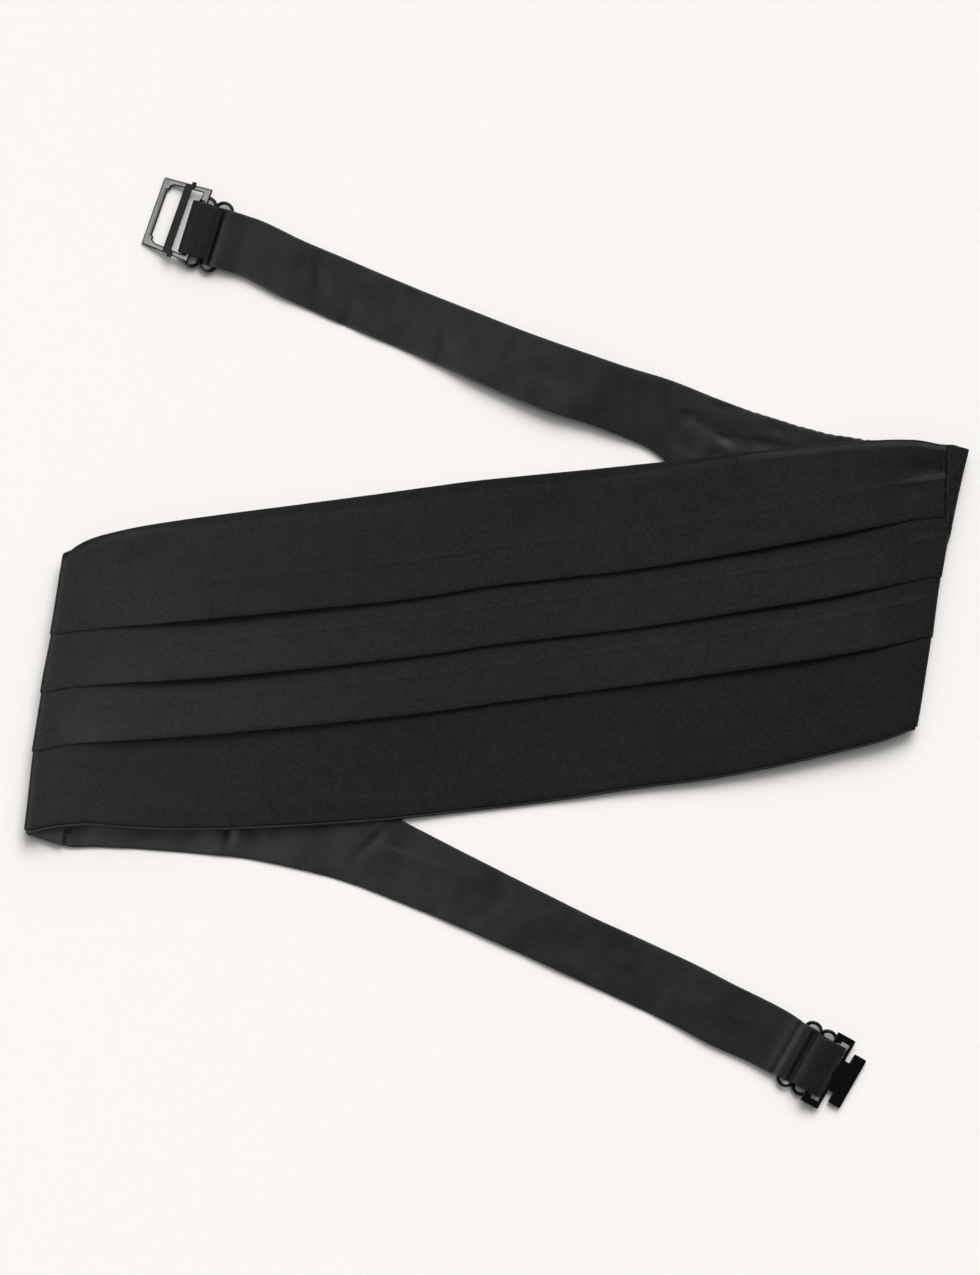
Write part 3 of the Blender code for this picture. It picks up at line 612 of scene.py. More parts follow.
def map_cut(bm):
    """A UV map in metres on the flat cut, for the weave."""
    cut, uv = bm.verts.layers.float_vector["cut"], bm.loops.layers.uv.new("Cut")
    for face in bm.faces:
        for loop in face.loops:
            loop[uv].uv = loop.vert[cut].xy * MM


def finish_mesh(name, bm, materials, shell=None):
    """Turn a bmesh in metres into a smooth object with outward faces."""
    mesh = bpy.data.meshes.new(name)
    bm.to_mesh(mesh)
    bm.free()
    for material in materials:
        mesh.materials.append(material)
    mesh.shade_smooth()
    item = bpy.data.objects.new(name, mesh)
    bpy.context.collection.objects.link(item)
    if shell:
        wall = item.modifiers.new("Cloth wall", "SOLIDIFY")
        wall.thickness = shell * MM
        wall.offset = 0.0
    return item


def finish_strap(name, bm, materials):
    """Close a strap or a loop, laid out as one open skin, to a wall with outward faces."""
    map_cut(bm)
    bmesh.ops.remove_doubles(bm, verts=bm.verts, dist=DOUBLE)
    bmesh.ops.holes_fill(bm, edges=[edge for edge in bm.edges if edge.is_boundary], sides=0)
    bmesh.ops.recalc_face_normals(bm, faces=bm.faces)
    return finish_mesh(name, bm, materials)


def finish_metal(name, bm, materials):
    """Turn a bmesh of hard pieces into an object with smooth faces and crisp edges."""
    item = finish_mesh(name, bm, materials)
    item.data.set_sharp_from_angle(angle=CRISP_FROM)
    return item


# Soft creases of the front, on the surface in mm: the middle of each, the way it runs in degrees,
# half its length and width, and its height, which is above 0 for a ridge and below for a trough
RELIEF_FADE = 5.0           # distance from a fold in which the creases fade out
CREASE_SLACK = 3.6          # a crease is this many times wider on its slack side
CREASE_REACH = 3.0          # it isn't felt further off than this many of its own sizes
FRONT_WAVE_HIGH = 0.35      # slow waves of the whole front, their height, length and seed
FRONT_WAVE = 46.0
FRONT_SEED = 3.1
FRONT_CREASES = table(
    "x y turn long wide high",
    # Pressed ridges and hollows where the pleats gather towards the right seam
    (184.0, 74.6, 10.0, 10.0, 2.6, -1.1),
    (183.5, 68.6, 9.0, 8.0, 0.9, 0.6),
    (176.5, 65.0, 8.0, 5.0, 1.2, -0.4),
    (187.0, 50.6, 5.0, 4.5, 1.0, 0.5),
    (188.0, 47.6, 8.0, 4.0, 1.2, -0.5),
    (185.0, 44.6, 9.0, 6.0, 0.9, 0.5),
    (179.8, 59.5, -92.0, 5.5, 0.8, 0.12),
    (176.0, 17.5, 10.0, 9.0, 1.8, 0.2),
    (170.0, 5.0, -82.0, 10.0, 3.0, -0.3),
    # Slack across the top band
    (118.0, 72.0, -128.0, 10.0, 3.2, -0.25),
    (66.0, 66.0, -68.0, 9.0, 2.8, 0.18),
    (28.0, 60.0, 40.0, 18.0, 5.0, -0.3),
    (-52.0, 48.0, 8.0, 34.0, 5.0, 0.2),
    (-120.0, 36.0, -80.0, 9.0, 3.2, 0.07),
    # Slack in the lowest band
    (-96.0, -58.0, -88.0, 11.0, 3.6, 0.2),
    (-18.0, -48.0, 16.0, 26.0, 4.4, -0.25),
    (60.0, -42.0, -80.0, 12.0, 4.2, 0.22),
    (132.0, -30.0, 24.0, 20.0, 4.6, -0.3),
    (158.0, -18.0, -76.0, 12.0, 3.4, 0.25),
)
HEM_RIDGE = 0.14            # the turned hem shows as a faint uneven ridge along both edges
HEM_RIDGE_WIDE = 1.5
HEM_RIDGE_EVEN = 0.6        # share of the ridge that is there all along
HEM_WAVE = 14.0
HEM_SEEDS = {"top": 5.2, "bottom": 8.7}
PUCKER = 0.12               # short waves that sewing leaves beside an edge
PUCKER_WAVE = 5.0
PUCKER_REACH = 4.0


def creased(creases, x, y):
    """Height that a table of creases adds at a place on the surface."""
    total = 0.0
    for crease in creases:
        dx, dy = x - crease["x"], y - crease["y"]
        if abs(dx) + abs(dy) > CREASE_REACH * (crease["long"] + crease["wide"]):
            continue
        turn = math.radians(crease["turn"])
        along = (dx * math.cos(turn) + dy * math.sin(turn)) / crease["long"]
        across = (dy * math.cos(turn) - dx * math.sin(turn)) / crease["wide"]
        across /= 1.0 if across > 0 else CREASE_SLACK
        total += crease["high"] * math.exp(-along * along - across * across)
    return total


def wavy(x, y, size, seed):
    """Slow, uneven rise and fall of lying cloth, from -1 to 1."""
    return noise.noise(Vector((x / size, y / size, seed)))


def front_relief(u, v, point):
    """What the front's cloth adds to its plain form, in mm."""
    relief = FRONT_WAVE_HIGH * wavy(point.x, point.y, FRONT_WAVE, FRONT_SEED)
    relief += creased(FRONT_CREASES, point.x, point.y)
    for edge, seed in HEM_SEEDS.items():
        inward = abs(v - smooth_between(FRONT_ROWS, "u", edge, u))
        ridge = math.exp(-((inward - HEM_DEPTH) / HEM_RIDGE_WIDE) ** 2)
        relief += HEM_RIDGE * ridge * (HEM_RIDGE_EVEN + wavy(u, 0.0, HEM_WAVE, seed))
        relief += PUCKER * wavy(u, 0.0, PUCKER_WAVE, seed + 1) * math.exp(-inward / PUCKER_REACH)
    return relief


def lay_cloth(bm):
    """Lay each point of the front's flat pieces in metres, with its relief where it faces up."""
    for vert in bm.verts:
        u, v, n = vert.co
        point = lay(u, v, n)
        inside = min(-past_fold(fold, u, v) for fold in FOLDS.values())
        if inside > 0:
            point.z += front_relief(u, v, point) * ease(inside / RELIEF_FADE)
        vert.co = point * MM
    map_cut(bm)


def build_panel(name, section_at, cloth):
    """A panel of the front from its section at each u, cut off where the wings are sewn on."""
    columns = front_columns()
    sections = Sections(section_at, columns[0] - SECTION_SPARE, columns[-1] + SECTION_SPARE)
    bm, cut = grid(len(columns) - 1, len(sections.rows[0]) - 1)
    for vert in bm.verts:
        u0, point = columns[int(vert.co.x)], int(vert.co.y)
        u = u0
        for _ in range(PANEL_ROUNDS):
            v, n, run = sections.read(u, point)
            u = u0 + column_lean(u0) * v
        vert.co = (u, v, n)
        vert[cut] = (u, run, 0)
    slice_at(bm, SEAM_LEFT, -1, clear=True)
    slice_at(bm, SEAM_RIGHT, clear=True)
    lay_cloth(bm)
    return finish_mesh(name, bm, [cloth], shell=SHELL)


def end_matrix(end):
    """The strap end's own frame: X to the clasp, Y across, at the slide's middle bar."""
    x, y = end["slide"]
    shift = Matrix.Translation((x + CENTRE_SHIFT[0], y + CENTRE_SHIFT[1], 0))
    return shift @ Matrix.Rotation(end["heading"], 4, "Z")


def strap_side():
    """One side of a strap's section: distance in from an edge, share across, half thickness."""
    side = [(inset, 0.0, half) for inset, half in EDGE_SHAPE]
    side += [(0.0, (i + 1) / (ACROSS_POINTS + 1), STRAP / 2) for i in range(ACROSS_POINTS)]
    return side + [(-inset, 1.0, half) for inset, half in reversed(EDGE_SHAPE)]


def strap_outline():
    """A strap's closed section: over its upper side and back along its lower side."""
    side = strap_side()
    return side + [(inset, share, -half) for inset, share, half in reversed(side)][1:]


def wing_level(side, u, v, lift):
    """Inner face of a wing: beside the seam it meets the front, further on it lies below."""
    past = past_fold(FOLDS[side], u, v) - HALF_TURN
    drop = LOWER_FACE - STRAP - WING_SEAM_LEVEL
    return WING_SEAM_LEVEL + drop * ease(past / WING_SEAM_RUN) - lift


def across_place(inset, share, width):
    """Distance across a strap of this width: plain between the two shaped edges."""
    if inset > 0:
        return inset
    if share == 1.0:
        return width + inset
    margin = min(EDGE_MARGIN, width / 4)
    return margin + (width - 2 * margin) * share if share > 0 else 0.0


def wing_stations(side, rows):
    """Where the stations cross the long axis, by distance from the middle."""
    crossing, roll_end = roll_ends(FOLDS[side])
    first = rows[0]["run"] - WING_SPARE
    places = spaced(first, crossing, STATION_STEP) if first < crossing else []
    start = max(first, crossing)
    places += spaced(start, roll_end, ROLL_STEP) if start < roll_end else []
    last = rows[-1]["run"] - THREAD_BLEND
    return places + spaced(max(start, roll_end), last, STATION_STEP) + [last]


def scallop(side, run):
    """How far the right wing's upper edge is drawn in between its gathering stitches."""
    if side == "left" or not SCALLOP_START < run < SCALLOP_END:
        return 0.0
    window = ease((run - SCALLOP_START) / SCALLOP_FADE) * ease((SCALLOP_END - run) / SCALLOP_FADE)
    depth = SCALLOP * window * abs(math.sin(math.pi * run / SCALLOP_STEP))
    return depth * (1 + wavy(run, 0, SCALLOP_WAVE, SCALLOP_SEED))


def wing_point(side, rows, run0, offset):
    """A point of a wing's outline on the cut: u, v and the level of its middle."""
    fold = FOLDS[side]
    hand = fold["side"]
    _, roll_end = roll_ends(fold)
    lean = (1 - ease((run0 - roll_end) / WING_STRAIGHTENS)) / math.tan(fold["lean"])
    inset, share, half = offset
    u = hand * run0
    for _ in range(WING_ROUNDS):
        top = smooth_between(rows, "run", "top", hand * u) - scallop(side, hand * u)
        bottom = smooth_between(rows, "run", "bottom", hand * u)
        v = top - across_place(inset, share, top - bottom)
        u = hand * run0 + lean * v
    level = wing_level(side, u, v, smooth_between(rows, "run", "lift", hand * u))
    return u, v, level + STRAP / 2 - half


def thread_point(end, hand, along, offset):
    """A point of the strap where it is threaded through its slide, in the end's frame."""
    narrow = smooth_between(end["thread"], "along", "narrow", along)
    behind, height, ahead = (smooth_between(end["thread"], "along", "height", along + step)
                             for step in (-THREAD_PROBE, 0.0, THREAD_PROBE))
    slope = Vector((2 * THREAD_PROBE, ahead - behind)).normalized()
    if end["crease"]:
        beyond = along - end["crease"]
        reach = CREASE_STEEP if beyond < 0 else CREASE_SLOW
        height -= BAR_CREASE * math.exp(-(beyond / reach) ** 2)
    wide = end["wide"] + (THREAD_HALF_WIDTH - end["wide"]) * narrow
    inset, share, half = offset
    across = (across_place(inset, share, 2 * wide) - wide) * hand
    return Vector((along - slope.y * half, across, height + slope.x * half))


WING_FADE = 25.0            # distance past the fold in which a wing's creases set in
# Slow waves of a strap, and what each adds to the strap's seed
STRAP_WAVES = table("high size shift", (0.4, 19.0, 0), (0.2, 8.0, 5))
STRAP_SEEDS = {"right": 11.3, "left": 27.9}

# Creases and hollows of the two straps, written as the front's are
STRAP_CREASES = {
    "right": table(
        "x y turn long wide high",
        # Along the strap, from its slide
        (-74.0, 153.0, 87.0, 9.0, 1.6, -0.6),
        (-80.0, 160.0, 60.0, 5.0, 2.0, -0.4),
        (-62.0, 137.0, 70.0, 7.0, 1.8, -0.5),
        (-43.0, 146.0, 88.0, 8.0, 1.6, -0.45),
        (-31.0, 136.0, -110.0, 8.0, 2.2, 0.2),
        (-22.0, 123.0, 82.0, 6.0, 1.8, -0.6),
        (8.0, 124.0, 65.0, 6.0, 2.0, -0.5),
        (28.0, 112.0, -28.0, 9.0, 1.9, -0.6),
        (44.0, 104.0, -105.0, 7.0, 2.2, 0.3),
        # Where the wing spreads out and is held by the fold
        (68.2, 100.0, -92.0, 8.0, 1.2, 0.3),
        (73.5, 92.0, 108.0, 11.0, 1.8, -0.65),
        (84.2, 81.5, -45.0, 5.0, 1.3, -0.65),
        (82.3, 96.2, -12.0, 3.2, 1.3, -0.7),
        (92.5, 91.5, -25.0, 8.5, 1.2, -0.9),
        (98.4, 86.6, -17.0, 5.0, 1.0, -0.85),
        (92.4, 79.0, 80.0, 3.0, 1.4, -0.8),
        (97.3, 99.8, -14.0, 4.5, 0.8, -0.35),
        (114.9, 84.3, -11.0, 8.0, 1.2, -0.8),
        (119.2, 90.8, -24.0, 5.0, 0.8, -0.35),
    ),
    "left": table(
        "x y turn long wide high",
        # In the mouth of the fold
        (-111.6, -80.0, 80.0, 6.0, 0.8, -0.55),
        (-150.0, -78.0, -110.0, 7.0, 4.0, 0.25),
        # Along the strap
        (-39.3, -88.6, -19.0, 24.0, 1.2, 0.26),
        (-51.9, -83.4, 44.0, 7.0, 0.9, -0.55),
        (5.0, -107.5, -50.0, 9.0, 4.0, -0.45),
        (22.0, -114.5, -38.0, 11.0, 2.8, 0.28),
        (40.0, -130.5, -32.0, 13.0, 3.2, -0.35),
        (38.0, -139.0, -34.0, 11.0, 2.6, 0.28),
        (72.0, -146.0, -125.0, 8.0, 2.4, -0.3),
        (92.0, -153.0, -30.0, 14.0, 2.2, 0.25),
        (110.0, -168.0, -118.0, 6.0, 2.0, -0.2),
    ),
}


def strap_relief(side, u, v, point):
    """What a strap's cloth adds to its plain form, in mm."""
    run = abs(u)
    inward = smooth_between(WINGS[side], "run", "top", run) - v
    relief = sum(wave["high"] * wavy(point.x, point.y, wave["size"], STRAP_SEEDS[side] + wave["shift"])
                 for wave in STRAP_WAVES)
    relief -= scallop(side, run) * SCALLOP_DIP * math.exp(-max(inward, 0.0) / PUCKER_REACH)
    return relief + creased(STRAP_CREASES[side], point.x, point.y)


def wing_grid(side, end, stations):
    """A wing on the cut as one closed outline, and the places of what goes on into the slide."""
    rows, hand = WINGS[side], FOLDS[side]["side"]
    outline = strap_outline()
    matrix = end_matrix(end)
    threads = spaced(end["thread"][0]["along"], LOOP_START + THREAD_OVERLAP, THREAD_STEP)
    last = [wing_point(side, rows, stations[-1], offset) for offset in outline]
    before = [wing_point(side, rows, stations[-1] - 1.0, offset) for offset in outline]
    middle = outline.index(min(outline, key=lambda offset: abs(offset[1] - 0.5)))
    gap = (lay(*last[middle]) - matrix @ thread_point(end, hand, threads[0], outline[middle])).length
    bridge = max(round(gap / STATION_STEP), 1)
    bm, cut = grid(len(stations) + bridge - 1 + len(threads) - 1, len(outline) - 1)
    for face in bm.faces:
        face.material_index = 0 if face.calc_center_median().y < len(strap_side()) - 1 else 1
    placed = {}
    for vert in bm.verts:
        row, index = int(vert.co.x), int(vert.co.y)
        if row < len(stations):
            u, v, n = wing_point(side, rows, stations[row], outline[index])
            vert.co, vert[cut] = (u, v, n), (u, v, 0)
            continue
        step = row - len(stations) + 1
        # On the cut the threaded stretch goes straight on
        run = stations[-1] + (step * gap / bridge if step < bridge
                              else gap + threads[step - bridge] - threads[0])
        vert.co = (hand * run, last[index][1], last[index][2])
        vert[cut] = (hand * run, last[index][1], 0)
        if step >= bridge:
            placed[vert] = matrix @ thread_point(end, hand, threads[step - bridge], outline[index])
        else:
            start, back = lay(*last[index]), lay(*before[index])
            finish, on = (matrix @ thread_point(end, hand, threads[0] + further, outline[index])
                          for further in (0.0, 1.0))
            placed[vert] = curve(step / bridge, start, gap * (start - back), finish,
                                 gap * (on - finish))
    return bm, placed, gap


def build_wing(side, end, satin, cloth):
    """A wing and its strap, from the seam round the fold to the stretch in the slide."""
    hand, seam = FOLDS[side]["side"], WINGS[side][0]["run"]
    stations = wing_stations(side, WINGS[side])
    bm, placed, gap = wing_grid(side, end, stations)
    slice_at(bm, hand * (seam - WING_ALLOWANCE), -hand, clear=True)
    for place in (seam, seam + SEAM_STEP_RUN):
        slice_at(bm, hand * place)
    for vert in bm.verts:
        u, v, n = vert.co
        past = past_fold(FOLDS[side], u, v) - HALF_TURN
        outside = (hand * u - seam) / SEAM_STEP_RUN
        n += SEAM_STEP * ease(outside) * (1 - ease(past / WING_SEAM_RUN))
        point = placed[vert] if vert in placed else lay(u, v, n)
        fade = ease(past / WING_FADE) * (1 - ease((hand * u - stations[-1]) / gap))
        if past > 0 and fade > 0:
            point.z = max(point.z + strap_relief(side, u, v, point) * fade, FLOOR_CLEAR)
        elif past < -HALF_TURN:
            point.z += front_relief(u, v, point) * ease((-past - HALF_TURN) / RELIEF_FADE)
        vert.co = point * MM
    return finish_strap(side + "_wing_cloth", bm, [satin, cloth])


# Noise hardly leaves this range, so a roughness mapped from it uses its whole span
MIDDLE_OF_NOISE = {"From Min": 0.3, "From Max": 0.7}
RUBBED = 0.08               # the rubbed lines of a metal are duller and shinier by this much


def add_node(tree, kind, inputs=None, links=None, **settings):
    """Add one node, set its properties and sockets, and link other nodes' outputs to it."""
    node = tree.nodes.new(kind)
    for name, value in settings.items():
        setattr(node, name, value)
    for socket, value in (inputs or {}).items():
        node.inputs[socket].default_value = value
    for socket, output in (links or {}).items():
        tree.links.new(output, node.inputs[socket])
    return node


def new_material(name, base, roughness, metallic=0.0, **sockets):
    """A material with its Principled shader, whose plain sockets are set here."""
    material = bpy.data.materials.get(name)
    if material:
        return material, None, None
    material = bpy.data.materials.new(name)
    material.use_nodes = True
    shader = material.node_tree.nodes["Principled BSDF"]
    shader.inputs["Base Color"].default_value = (*base, 1.0)
    shader.inputs["Roughness"].default_value = roughness
    shader.inputs["Metallic"].default_value = metallic
    for socket, value in sockets.items():
        shader.inputs[socket.replace("_", " ").title().replace("Ior", "IOR")].default_value = value
    return material, material.node_tree, shader


def broken_rib(tree, place, scale):
    """Noise drawn out one way, for threads, floats and rubbed lines that break off."""
    stretch = add_node(tree, "ShaderNodeMapping", {"Scale": scale}, {"Vector": place})
    return add_node(tree, "ShaderNodeTexNoise", {"Scale": 1.0, "Detail": 2.0},
                    {"Vector": stretch.outputs["Vector"]}).outputs["Fac"]


def vary(tree, shader, base, tone, tones, worn=None, rough=None, raised=None, bump=None):
    """Vary a surface's tone about its base colour, and where given its roughness and relief."""
    ramp = add_node(tree, "ShaderNodeValToRGB", None, {"Fac": tone})
    for element, factor in zip(ramp.color_ramp.elements, tones):
        element.color = (*(channel * factor for channel in base), 1.0)
    tree.links.new(ramp.outputs["Color"], shader.inputs["Base Color"])
    if worn:
        wear = add_node(tree, "ShaderNodeMapRange", rough, {"Value": worn})
        tree.links.new(wear.outputs["Result"], shader.inputs["Roughness"])
    if raised:
        relief = add_node(tree, "ShaderNodeBump", bump, {"Height": raised})
        tree.links.new(relief.outputs["Normal"], shader.inputs["Normal"])


def barathea(settings):
    """Silk and wool barathea: a fine broken rib, matt, with a faint pebbled speckle."""
    base = settings.front_colour
    material, tree, shader = new_material("Black barathea", base, 0.5, specular_ior_level=0.13)
    if tree is None:
        return material
    place = add_node(tree, "ShaderNodeUVMap", uv_map="Cut")
    # The rib's pebbles are 0.5 mm; drawn 0.8 mm wide and 2 mm long, as coarse as they need to show
    warp, weft = (broken_rib(tree, place.outputs["UV"], scale)
                  for scale in ((1 / 0.002, 1 / 0.0008, 1.0), (1 / 0.0008, 1 / 0.002, 1.0)))
    pebble = add_node(tree, "ShaderNodeMath", None, {0: warp, 1: weft}, operation="ADD")
    # The nap lies in cloudy patches of 5 to 10 mm
    cloud = add_node(tree, "ShaderNodeTexNoise", {"Scale": 1 / 0.007, "Detail": 3.0},
                     {"Vector": place.outputs["UV"]})
    mixed = add_node(tree, "ShaderNodeMath", {1: 0.5}, {0: cloud.outputs["Fac"], 2: pebble.outputs[0]},
                     operation="MULTIPLY_ADD")
    tone = add_node(tree, "ShaderNodeMapRange", {"From Min": 0.9, "From Max": 1.6},
                    {"Value": mixed.outputs[0]})
    # Handling leaves wide, barely duller and shinier places
    worn = add_node(tree, "ShaderNodeTexNoise", {"Scale": 1 / 0.045, "Detail": 2.0},
                    {"Vector": place.outputs["UV"]})
    vary(tree, shader, base, tone.outputs["Result"], (0.4, 1.6),
         worn.outputs["Fac"], {"To Min": 0.42, "To Max": 0.58},
         pebble.outputs[0], {"Strength": 0.22, "Distance": 0.0002})
    return material


def satin_lining(settings):
    """Polyester satin: long floats give a soft broad sheen that breaks up in patches."""
    base = settings.lining_colour
    material, tree, shader = new_material("Black satin lining", base, 0.45, specular_ior_level=0.22)
    if tree is None:
        return material
    place = add_node(tree, "ShaderNodeUVMap", uv_map="Cut")
    # The sheen breaks up in patches about 16 mm wide
    patch = add_node(tree, "ShaderNodeTexNoise", {"Scale": 1 / 0.016, "Detail": 3.0},
                     {"Vector": place.outputs["UV"]})
    # Floats are 0.1 mm wide; drawn 0.7 mm wide and 5 mm long, as coarse as they need to show
    floats = broken_rib(tree, place.outputs["UV"], (1 / 0.005, 1 / 0.0007, 1.0))
    vary(tree, shader, base, floats, (0.5, 1.5),
         patch.outputs["Fac"], {**MIDDLE_OF_NOISE, "To Min": 0.37, "To Max": 0.53},
         floats, {"Strength": 0.15, "Distance": 0.0002})
    return material


def brushed_metal(name, base, roughness, metallic, grain):
    """Metal rubbed in one direction: fine long lines, duller and shinier by turns."""
    material, tree, shader = new_material(name, base, roughness, metallic, specular_ior_level=0.15)
    if tree is None:
        return material
    place = add_node(tree, "ShaderNodeTexCoord")
    # Turned so that the lines run along the clasp's bars
    turned = add_node(tree, "ShaderNodeMapping", {"Rotation": (0.0, 0.0, -ENDS["frame"]["heading"])},
                      {"Vector": place.outputs["Object"]})
    # Brushed lines are too fine to show; drawn 0.3 mm wide and 5 mm long, as coarse as they need
    lines = broken_rib(tree, turned.outputs["Vector"], (1 / 0.0003, 1 / 0.005, 1 / 0.0003))
    vary(tree, shader, base, lines, (1 - grain, 1 + grain), lines,
         {**MIDDLE_OF_NOISE, "To Min": roughness - RUBBED, "To Max": roughness + RUBBED},
         lines, {"Strength": 0.2, "Distance": 0.00005})
    return material


def black_nickel(settings):
    """Black nickel plate, brushed, a grey on the flat tops of its rails."""
    return brushed_metal("Brushed black nickel", settings.nickel_colour, 0.5, 0.6, 0.5)


def darker_nickel():
    """The same plate on the far bar, in a slightly darker grey."""
    return brushed_metal("Darker black nickel", srgb("#80807e"), 0.5, 0.6, 0.5)


def nickel_edge_painted_shade():
    """The same plate on its edges, nearly black: painted shade on the faces that turn away from the
    light.
    """
    return brushed_metal("Black nickel, painted edge shade", srgb("#0e0e0e"), 0.5, 0.0, 0.2)


def crossbar_lacquer():
    """Matt black lacquer over steel, rubbed to a dark grey."""
    return brushed_metal("Matt black lacquer", srgb("#1c1c1b"), 0.6, 0.0, 0.15)


def black_enamel(settings):
    """Baked gloss enamel on steel: deep black with small sharp glints."""
    base = settings.enamel_colour
    material, tree, shader = new_material("Gloss black enamel", base, 0.22, specular_ior_level=0.2,
                                          coat_weight=0.12)
    if tree is None:
        return material
    place = add_node(tree, "ShaderNodeTexCoord")
    # Flow marks of the baked coat are 1 to 2 mm long
    flow = add_node(tree, "ShaderNodeTexNoise", {"Scale": 1 / 0.0012, "Detail": 2.0},
                    {"Vector": place.outputs["Object"]})
    vary(tree, shader, base, flow.outputs["Fac"], (0.7, 1.3),
         flow.outputs["Fac"], {"To Min": 0.14, "To Max": 0.32},
         flow.outputs["Fac"], {"Strength": 0.1, "Distance": 0.0001})
    return material


def pale_floor(settings):
    """Matt painted board: almost even, with a fine tooth that only shows close up."""
    base = settings.floor_colour
    material, tree, shader = new_material("Pale matt board", base, 0.9, specular_ior_level=0.2)
    if tree is None:
        return material
    place = add_node(tree, "ShaderNodeTexCoord")
    # The paint's tooth is too fine to show; drawn 1.5 mm wide, as coarse as it needs
    tooth = add_node(tree, "ShaderNodeTexNoise", {"Scale": 1 / 0.0015, "Detail": 2.0},
                     {"Vector": place.outputs["Object"]})
    vary(tree, shader, base, tooth.outputs["Fac"], (0.99, 1.01))
    return material


def dense_path(points, step):
    """A path through points, smoothed by a Catmull-Rom curve and sampled at even steps."""
    fine = []
    for i in range(len(points) - 1):
        p0, p1 = points[max(i - 1, 0)], points[i]
        p2, p3 = points[i + 1], points[min(i + 2, len(points) - 1)]
        count = max(round((p2 - p1).length / step), 1)
        for k in range(count):
            t = k / count
            fine.append(0.5 * ((2 * p1) + (p2 - p0) * t + (2 * p0 - 5 * p1 + 4 * p2 - p3) * t * t
                               + (3 * p1 - p0 - 3 * p2 + p3) * t ** 3))
    return fine + [points[-1]]


def path_normals(points):
    """Normals to the left of a path in the plane."""
    normals = []
    for i in range(len(points)):
        way = (points[min(i + 1, len(points) - 1)] - points[max(i - 1, 0)]).normalized()
        normals.append(Vector((-way.y, way.x)))
    return normals


def build_loop(name, end, cloth):
    """The strap's end: under the slide's middle bar, round the clasp's bar and back."""
    bend = (LOOP_HIGH - LOOP_LOW) / 2
    bend_centre = Vector((end["bend_along"] - LOOP_WALL / 2 - bend, LOOP_LOW + bend))
    path = [Vector((LOOP_START, LOOP_LOW)), bend_centre + Vector((0, -bend))]
    path += [Vector(point) for point in arc(*bend_centre, bend, -90, 90, LOOP_TURN_STEPS)[1:]]
    path.append(Vector((end["pin_along"] - LOOP_SETTLED, LOOP_HIGH)))
    path += [Vector(point) for point in end["tail"]]
    path = dense_path(path, LOOP_STEP)
    normals = path_normals(path)
    matrix = end_matrix(end)
    outline = strap_outline()
    bm, cut = grid(len(path) - 1, len(outline) - 1)
    run = [0.0]
    for a, b in zip(path, path[1:]):
        run.append(run[-1] + (b - a).length)
    for vert in bm.verts:
        step, (inset, share, half) = int(vert.co.x), outline[int(vert.co.y)]
        across = across_place(inset, share, 2 * end["loop_half"])
        free = ease((path[step].y - SLIDE_LEVEL) / (LOOP_HIGH - SLIDE_LEVEL))
        rumple = LOOP_RUMPLE * wavy(run[step], across, LOOP_WAVE, end["pin_along"]) * free
        along, height = path[step] - normals[step] * (half * LOOP_WALL / STRAP + rumple)
        vert[cut] = (run[step], across, 0)
        vert.co = matrix @ Vector((along, across - end["loop_half"] + end["loop_across"], height)) * MM
    return finish_strap(name + "_cloth", bm, [cloth])


def mirrored(points):
    """A contour's far half added to its near half, mirrored across the clasp's long axis."""
    return points + [(x, -y) for x, y in reversed(points)]


def rounded(contour, radius):
    """A closed contour with each corner turned by a small arc."""
    points = [Vector(point) for point in contour]
    result = []
    for i, corner in enumerate(points):
        before, after = points[i - 1] - corner, points[(i + 1) % len(points)] - corner
        cut = min(radius, before.length * CORNER_SHARE, after.length * CORNER_SHARE)
        start, end = corner + before.normalized() * cut, corner + after.normalized() * cut
        for step in range(CORNER_STEPS + 1):
            t = step / CORNER_STEPS
            result.append(tuple((1 - t) ** 2 * start + 2 * t * (1 - t) * corner + t * t * end))
    return result


def add_plate(bm, contours, low, high, bevel, segments=3):
    """Add a flat plate between two heights: the first contour is its outline, the rest holes."""
    before = set(bm.faces)
    outline = []
    for contour in contours:
        verts = [bm.verts.new((x * MM, y * MM, low * MM)) for x, y in contour]
        outline += [bm.edges.new((vert, verts[i - 1])) for i, vert in enumerate(verts)]
    filled = bmesh.ops.triangle_fill(bm, edges=outline, use_beauty=True, normal=(0, 0, 1))
    base = [item for item in filled["geom"] if isinstance(item, bmesh.types.BMFace)]
    raised = bmesh.ops.extrude_face_region(bm, geom=base, use_keep_orig=True)
    for item in raised["geom"]:
        if isinstance(item, bmesh.types.BMVert):
            item.co.z = high * MM
    faces = [face for face in bm.faces if face not in before]
    bmesh.ops.recalc_face_normals(bm, faces=faces)
    rims = [edge for edge in bm.edges if edge.link_faces[0] not in before
            and abs(edge.verts[0].co.z - edge.verts[1].co.z) < LEVEL_WITHIN
            and edge.calc_face_angle(0) > SHARP_FROM]
    bmesh.ops.bevel(bm, geom=rims, offset=bevel * MM, affect="EDGES", segments=segments,
                    profile=0.5, material=-1)


def plate(contours, low, high, bevel, segments=3):
    """A flat plate on its own."""
    bm = bmesh.new()
    add_plate(bm, contours, low, high, bevel, segments)
    return bm


def place_in_end(bm, end, place, tilt=0.0, swing=0.0):
    """Put a mesh in metres in a strap end's frame, swung about Z and its tip tilted down."""
    local = (Matrix.Translation(Vector(place) * MM) @ Matrix.Rotation(swing, 4, "Z")
             @ Matrix.Rotation(tilt, 4, "Y"))
    end_frame = end_matrix(end)
    end_frame.translation *= MM
    bmesh.ops.transform(bm, matrix=end_frame @ local, verts=bm.verts)


